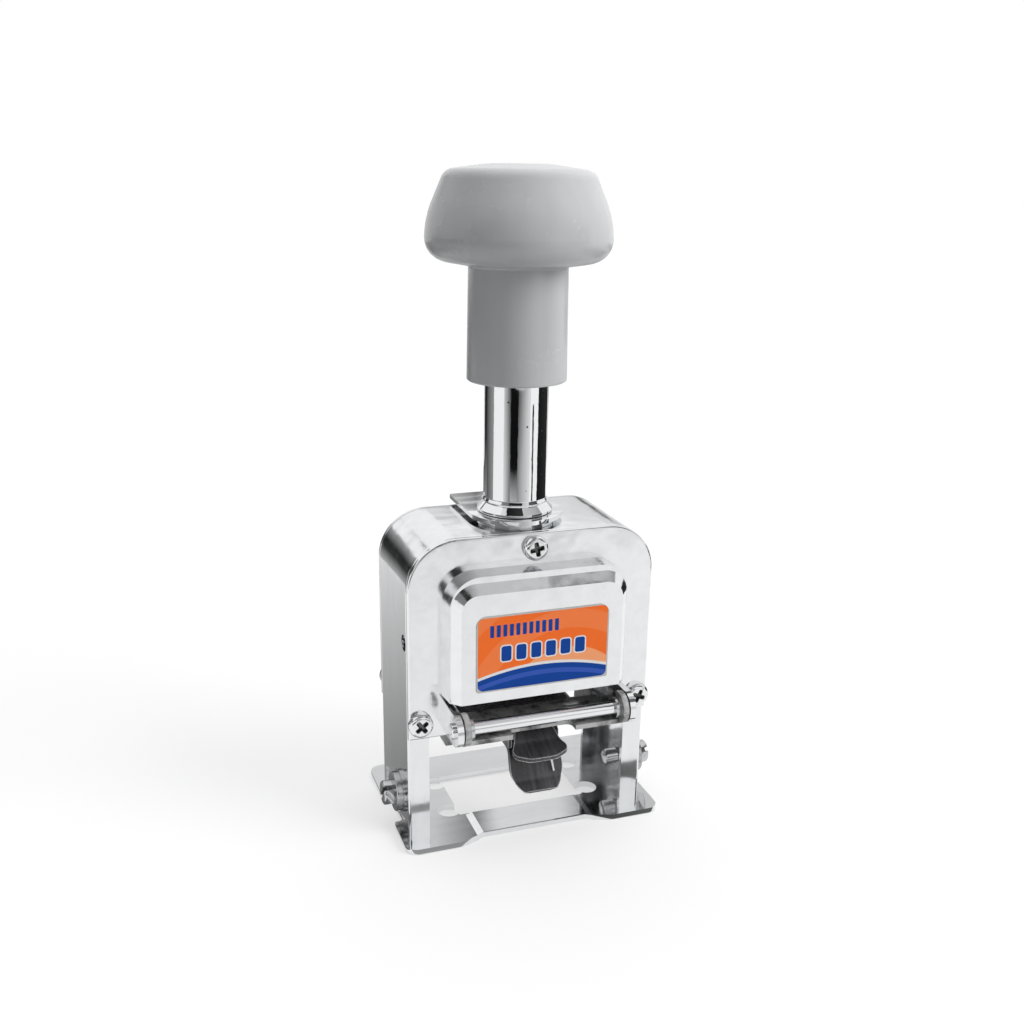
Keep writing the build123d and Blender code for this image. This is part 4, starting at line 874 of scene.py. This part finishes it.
view_forward = (0.32203, 0.89825, -0.29907)
view_heading = math.atan2(-view_forward[1], -view_forward[0])


def quad(name, corners, material):
    """A flat stage sheet from its corners."""
    mesh = bpy.data.meshes.new(name)
    mesh.from_pydata(corners, [], [tuple(range(len(corners)))])
    made = in_scene(name, mesh)
    mesh.materials.append(material)
    return made


def card(name, corners, greys):
    """A card that only bright metal sees, with a grey of its own at each corner."""
    made = bpy.data.materials.new(name)
    made.use_nodes = True
    tree = made.node_tree
    tree.nodes.remove(tree.nodes["Principled BSDF"])
    shade = add(tree, "VertexColor", layer_name="grey").outputs["Color"]
    glow = add(tree, "Emission", {"Color": shade})
    tree.links.new(glow.outputs[0], tree.nodes["Material Output"].inputs["Surface"])
    sheet = quad(name, corners, made)
    shades = sheet.data.color_attributes.new("grey", "FLOAT_COLOR", "POINT")
    for point, grey in zip(shades.data, greys):
        point.color = (grey, grey, grey, 1)
    sheet.visible_camera = False
    sheet.visible_diffuse = False
    sheet.visible_shadow = False


def heading(degrees, reach, height):
    """A place round the machine: degrees from the camera's side, and how far out."""
    turn = view_heading + math.radians(degrees)
    return (reach * math.cos(turn), reach * math.sin(turn), height)


def standing_card(name, start, end, reach, low, high, *greys, part=(0.0, 1.0)):
    """A card that stands between two headings, or on a part of the way from the first to the second.

    Its greys run foot start, foot end, head end, head start, and a lone grey serves the whole card."""
    first, last = Vector(heading(start, reach, 0.0)), Vector(heading(end, reach, 0.0))
    corners = [first.lerp(last, share) + Vector((0, 0, height))
               for share, height in ((part[0], low), (part[1], low), (part[1], high), (part[0], high))]
    card(name, corners, greys * 4 if len(greys) == 1 else greys)


front_reach, side_reach, shoulder_reach = 0.27, 0.24, 0.26
card_top, shoulder_low, shoulder_top = 0.075, 0.085, 0.115
standing_card("card_front_left", -42, -18, front_reach, 0.0, card_top, 0.85, 0.20, 0.004, 0.60)
standing_card("card_front_foot", -18, 8, front_reach, 0.0, 0.024, 0.75, 0.60, 0.008, 0.008)
standing_card("card_front", -18, 8, front_reach, 0.024, card_top, 0.006)
standing_card("card_front_right", 8, 52, front_reach, 0.0, card_top, 0.30, 0.85, 0.80, 0.005)
standing_card("card_left", -124, -84, 0.23, 0.0, card_top, 0.07, 0.34, 0.34, 0.07)
standing_card("card_back_left", -182, -156, side_reach, 0.0, 0.05, 0.01)
standing_card("card_bend_low", -156, -124, side_reach, 0.0, 0.045, 0.40, 0.45, 0.04, 0.01)
standing_card("card_bend", -156, -124, side_reach, 0.045, card_top, 0.01, 0.04, 0.02, 0.01)
standing_card("card_right", 84, 146, side_reach, 0.0, card_top, 0.01, 0.03, 0.03, 0.01)
standing_card("card_right_strip", 60, 66, side_reach, 0.0, 0.06, 0.05)
standing_card("ring_back_left", -156, -122, side_reach, card_top, shoulder_top, 0.02, 0.02, 0.35, 0.35)
standing_card("ring_left", -122, -60, shoulder_reach, shoulder_low, 0.15, 0.03, 0.2, 0.2, 0.03)
standing_card("ring_back_right", 130, 182, shoulder_reach, shoulder_low, shoulder_top, 0.2, 0.1, 0.1, 0.2)
standing_card("ring_left_high", -146, -132, 0.6, 0.30, 0.38, 0.14)
standing_card("ring_front_far", -8, 22, 0.30, 0.12, 0.21, 0.02)
card("card_over", [(-0.6, -0.5, 0.5), (0.8, -0.5, 0.5), (0.8, -0.02, 0.6), (-0.6, -0.02, 0.6)],
     (0.95, 0.30, 0.30, 0.95))
card("card_over_dark", [(-0.20, -0.24, 0.54), (0.10, -0.24, 0.54), (0.10, -0.09, 0.54),
                        (-0.20, -0.09, 0.54)], (0.01, 0.04, 0.04, 0.01))

layer_gap = 2.0 * mm
front_screen = (-60, 90, 0.32, 0.095, 0.20)
front_layer = (*front_screen[:2], front_screen[2] - layer_gap)
standing_card("ring_front_left", *front_screen, 0.30, 0.20, 0.20, 0.30, part=(0.0, 0.41))
standing_card("ring_front_middle", *front_screen, 0.20, 0.90, 0.70, 0.42, part=(0.41, 0.60))
standing_card("ring_front_right", *front_screen, 0.12, 0.05, 0.05, 0.12, part=(0.60, 1.0))
standing_card("ring_front_dark", *front_layer, 0.126, 0.152, 0.02, part=(0.375, 0.53))

rear_screen = (150, 212, 0.16, 0.055, 0.118)
rear_right, rear_left, rear_reach = *rear_screen[:2], rear_screen[2] - layer_gap
standing_card("rear_right_end", *rear_screen, 0.60, part=(0.0, 0.20))
standing_card("rear_right_dark", *rear_screen, 0.14, part=(0.20, 0.29))
standing_card("rear_right_fade", *rear_screen, 0.16, 0.74, 0.74, 0.16, part=(0.29, 0.36))
standing_card("rear_middle", *rear_screen, 0.78, part=(0.36, 0.52))
standing_card("rear_crease_fade", *rear_screen, 0.78, 0.16, 0.16, 0.78, part=(0.52, 0.575))
standing_card("rear_left_fade", *rear_screen, 0.24, 0.60, 0.60, 0.24, part=(0.575, 0.66))
standing_card("rear_left_end", *rear_screen, 0.62, 0.90, 0.90, 0.62, part=(0.66, 1.0))
standing_card("rear_right_top", rear_right, rear_left, rear_reach, 0.094, 0.119, 0.74, part=(0.0, 0.36))
card("rear_foot", [heading(rear_right, rear_reach, 0.054), heading(rear_left, rear_reach, 0.054),
                   heading(rear_left, rear_reach, 0.107), heading(rear_right, rear_reach, 0.069)],
     (0.78, 0.78, 0.62, 0.62))

above_floor = 1.0 * mm
card("card_floor_left", [(-0.034, -0.03, above_floor), (-0.026, 0.05, above_floor),
                         (-0.055, 0.235, above_floor), (-0.13, 0.235, above_floor)],
     (0.10, 0.42, 0.90, 0.80))
card("card_floor_behind", [(0.03, 0.03, above_floor), (-0.022, 0.03, above_floor),
                           (-0.05, 0.20, above_floor), (0.01, 0.20, above_floor)], (0.10, 0.30, 0.45, 0.20))
card("card_floor_front", [(-0.036, -0.03, above_floor), (0.06, -0.03, above_floor),
                          (0.16, -0.22, above_floor), (-0.04, -0.26, above_floor)], (0.95, 0.95, 1.0, 0.80))
# Two sheets on the floor along the base's front edge, seen only in reflections: painted shadow, the floor's
# contact shadow as the base's edge mirrors it.
close_to_floor, base_front, base_bend = 0.05 * mm, -21.6 * mm, 6.0 * mm
card("card_base_front", [(-0.04, base_front, close_to_floor), (base_bend, base_front, close_to_floor),
                         (base_bend, -0.0276, close_to_floor), (-0.04, -0.0276, close_to_floor)],
     (0.35, 0.30, 0.20, 0.25))
card("card_base_right", [(base_bend, base_front, close_to_floor), (0.04, base_front, close_to_floor),
                         (0.04, -0.034, close_to_floor), (base_bend, -0.034, close_to_floor)],
     (0.02, 0.16, 0.16, 0.02))

floor_colour = 0.42
floor_lift = 0.54
floor_material = bpy.data.materials.new("white floor")
floor_material.use_nodes = True
tree = floor_material.node_tree
floor_shader = tree.nodes["Principled BSDF"]
floor_shader.inputs["Base Color"].default_value = (floor_colour, floor_colour, floor_colour, 1)
floor_shader.inputs["Roughness"].default_value = 0.9
floor_shader.inputs["Specular IOR Level"].default_value = 0.0
path = add(tree, "LightPath").outputs
lifted = math_node(tree, "MAXIMUM", path["Is Camera Ray"], path["Is Glossy Ray"])
floor_shader.inputs["Emission Color"].default_value = (1, 1, 1, 1)
tree.links.new(math_node(tree, "MULTIPLY", lifted, floor_lift), floor_shader.inputs["Emission Strength"])
floor_reach = 6.0
quad("floor", [(-floor_reach, -floor_reach, 0), (floor_reach, -floor_reach, 0), (floor_reach, floor_reach, 0),
               (-floor_reach, floor_reach, 0)], floor_material)

room_light = 0.25
world = bpy.data.worlds.new("studio")
bpy.context.scene.world = world
world.use_nodes = True
tree = world.node_tree
path = add(tree, "LightPath").outputs
seen = math_node(tree, "MAXIMUM", path["Is Camera Ray"], path["Is Glossy Ray"])
seen = math_node(tree, "MAXIMUM", seen, path["Is Transmission Ray"])
tree.nodes["Background"].inputs["Color"].default_value = (1, 1, 1, 1)
tree.links.new(ramp(tree, seen, 0.0, 1.0, room_light, 1.0), tree.nodes["Background"].inputs["Strength"])


def broad_lamp(name, toward, spread, strength):
    """An even light from one side, as soft as its spread in degrees; strength 1 shows a colour as written."""
    data = bpy.data.lights.new(name, "SUN")
    data.angle = math.radians(spread)
    data.energy = strength * math.pi
    made = in_scene(name, data)
    made.rotation_mode = "QUATERNION"
    made.rotation_quaternion = Vector(toward).to_track_quat("Z", "Y")
    made.visible_glossy = False


broad_lamp("key", (0.72, -0.5, 0.45), 40, 0.75)
broad_lamp("top", (0.1, 0.25, 0.9), 70, 0.6)

# ---- Camera ----
# Stands in front of the machine, a little to its left and level with the top of the knob, and looks down
# on it. A small shift puts the machine in its place in the frame.

camera_place = (-0.08988, -0.25071, 0.15581)
view_right = (0.94281, -0.33296, 0.01514)
camera_data = bpy.data.cameras.new("camera")
camera = in_scene("camera", camera_data)
bpy.context.scene.camera = camera
forward = Vector(view_forward).normalized()
right = Vector(view_right)
right = (right - right.dot(forward) * forward).normalized()
up = right.cross(forward)
camera.matrix_world = Matrix([*zip(right, up, -forward, camera_place), (0, 0, 0, 1)])
camera_data.sensor_width = 36.0
camera_data.lens = 39.767
camera_data.shift_x = -0.00217
camera_data.shift_y = 0.01895
camera_data.clip_start = 0.01
camera_data.clip_end = 30.0
bpy.context.scene.view_settings.view_transform = "Standard"
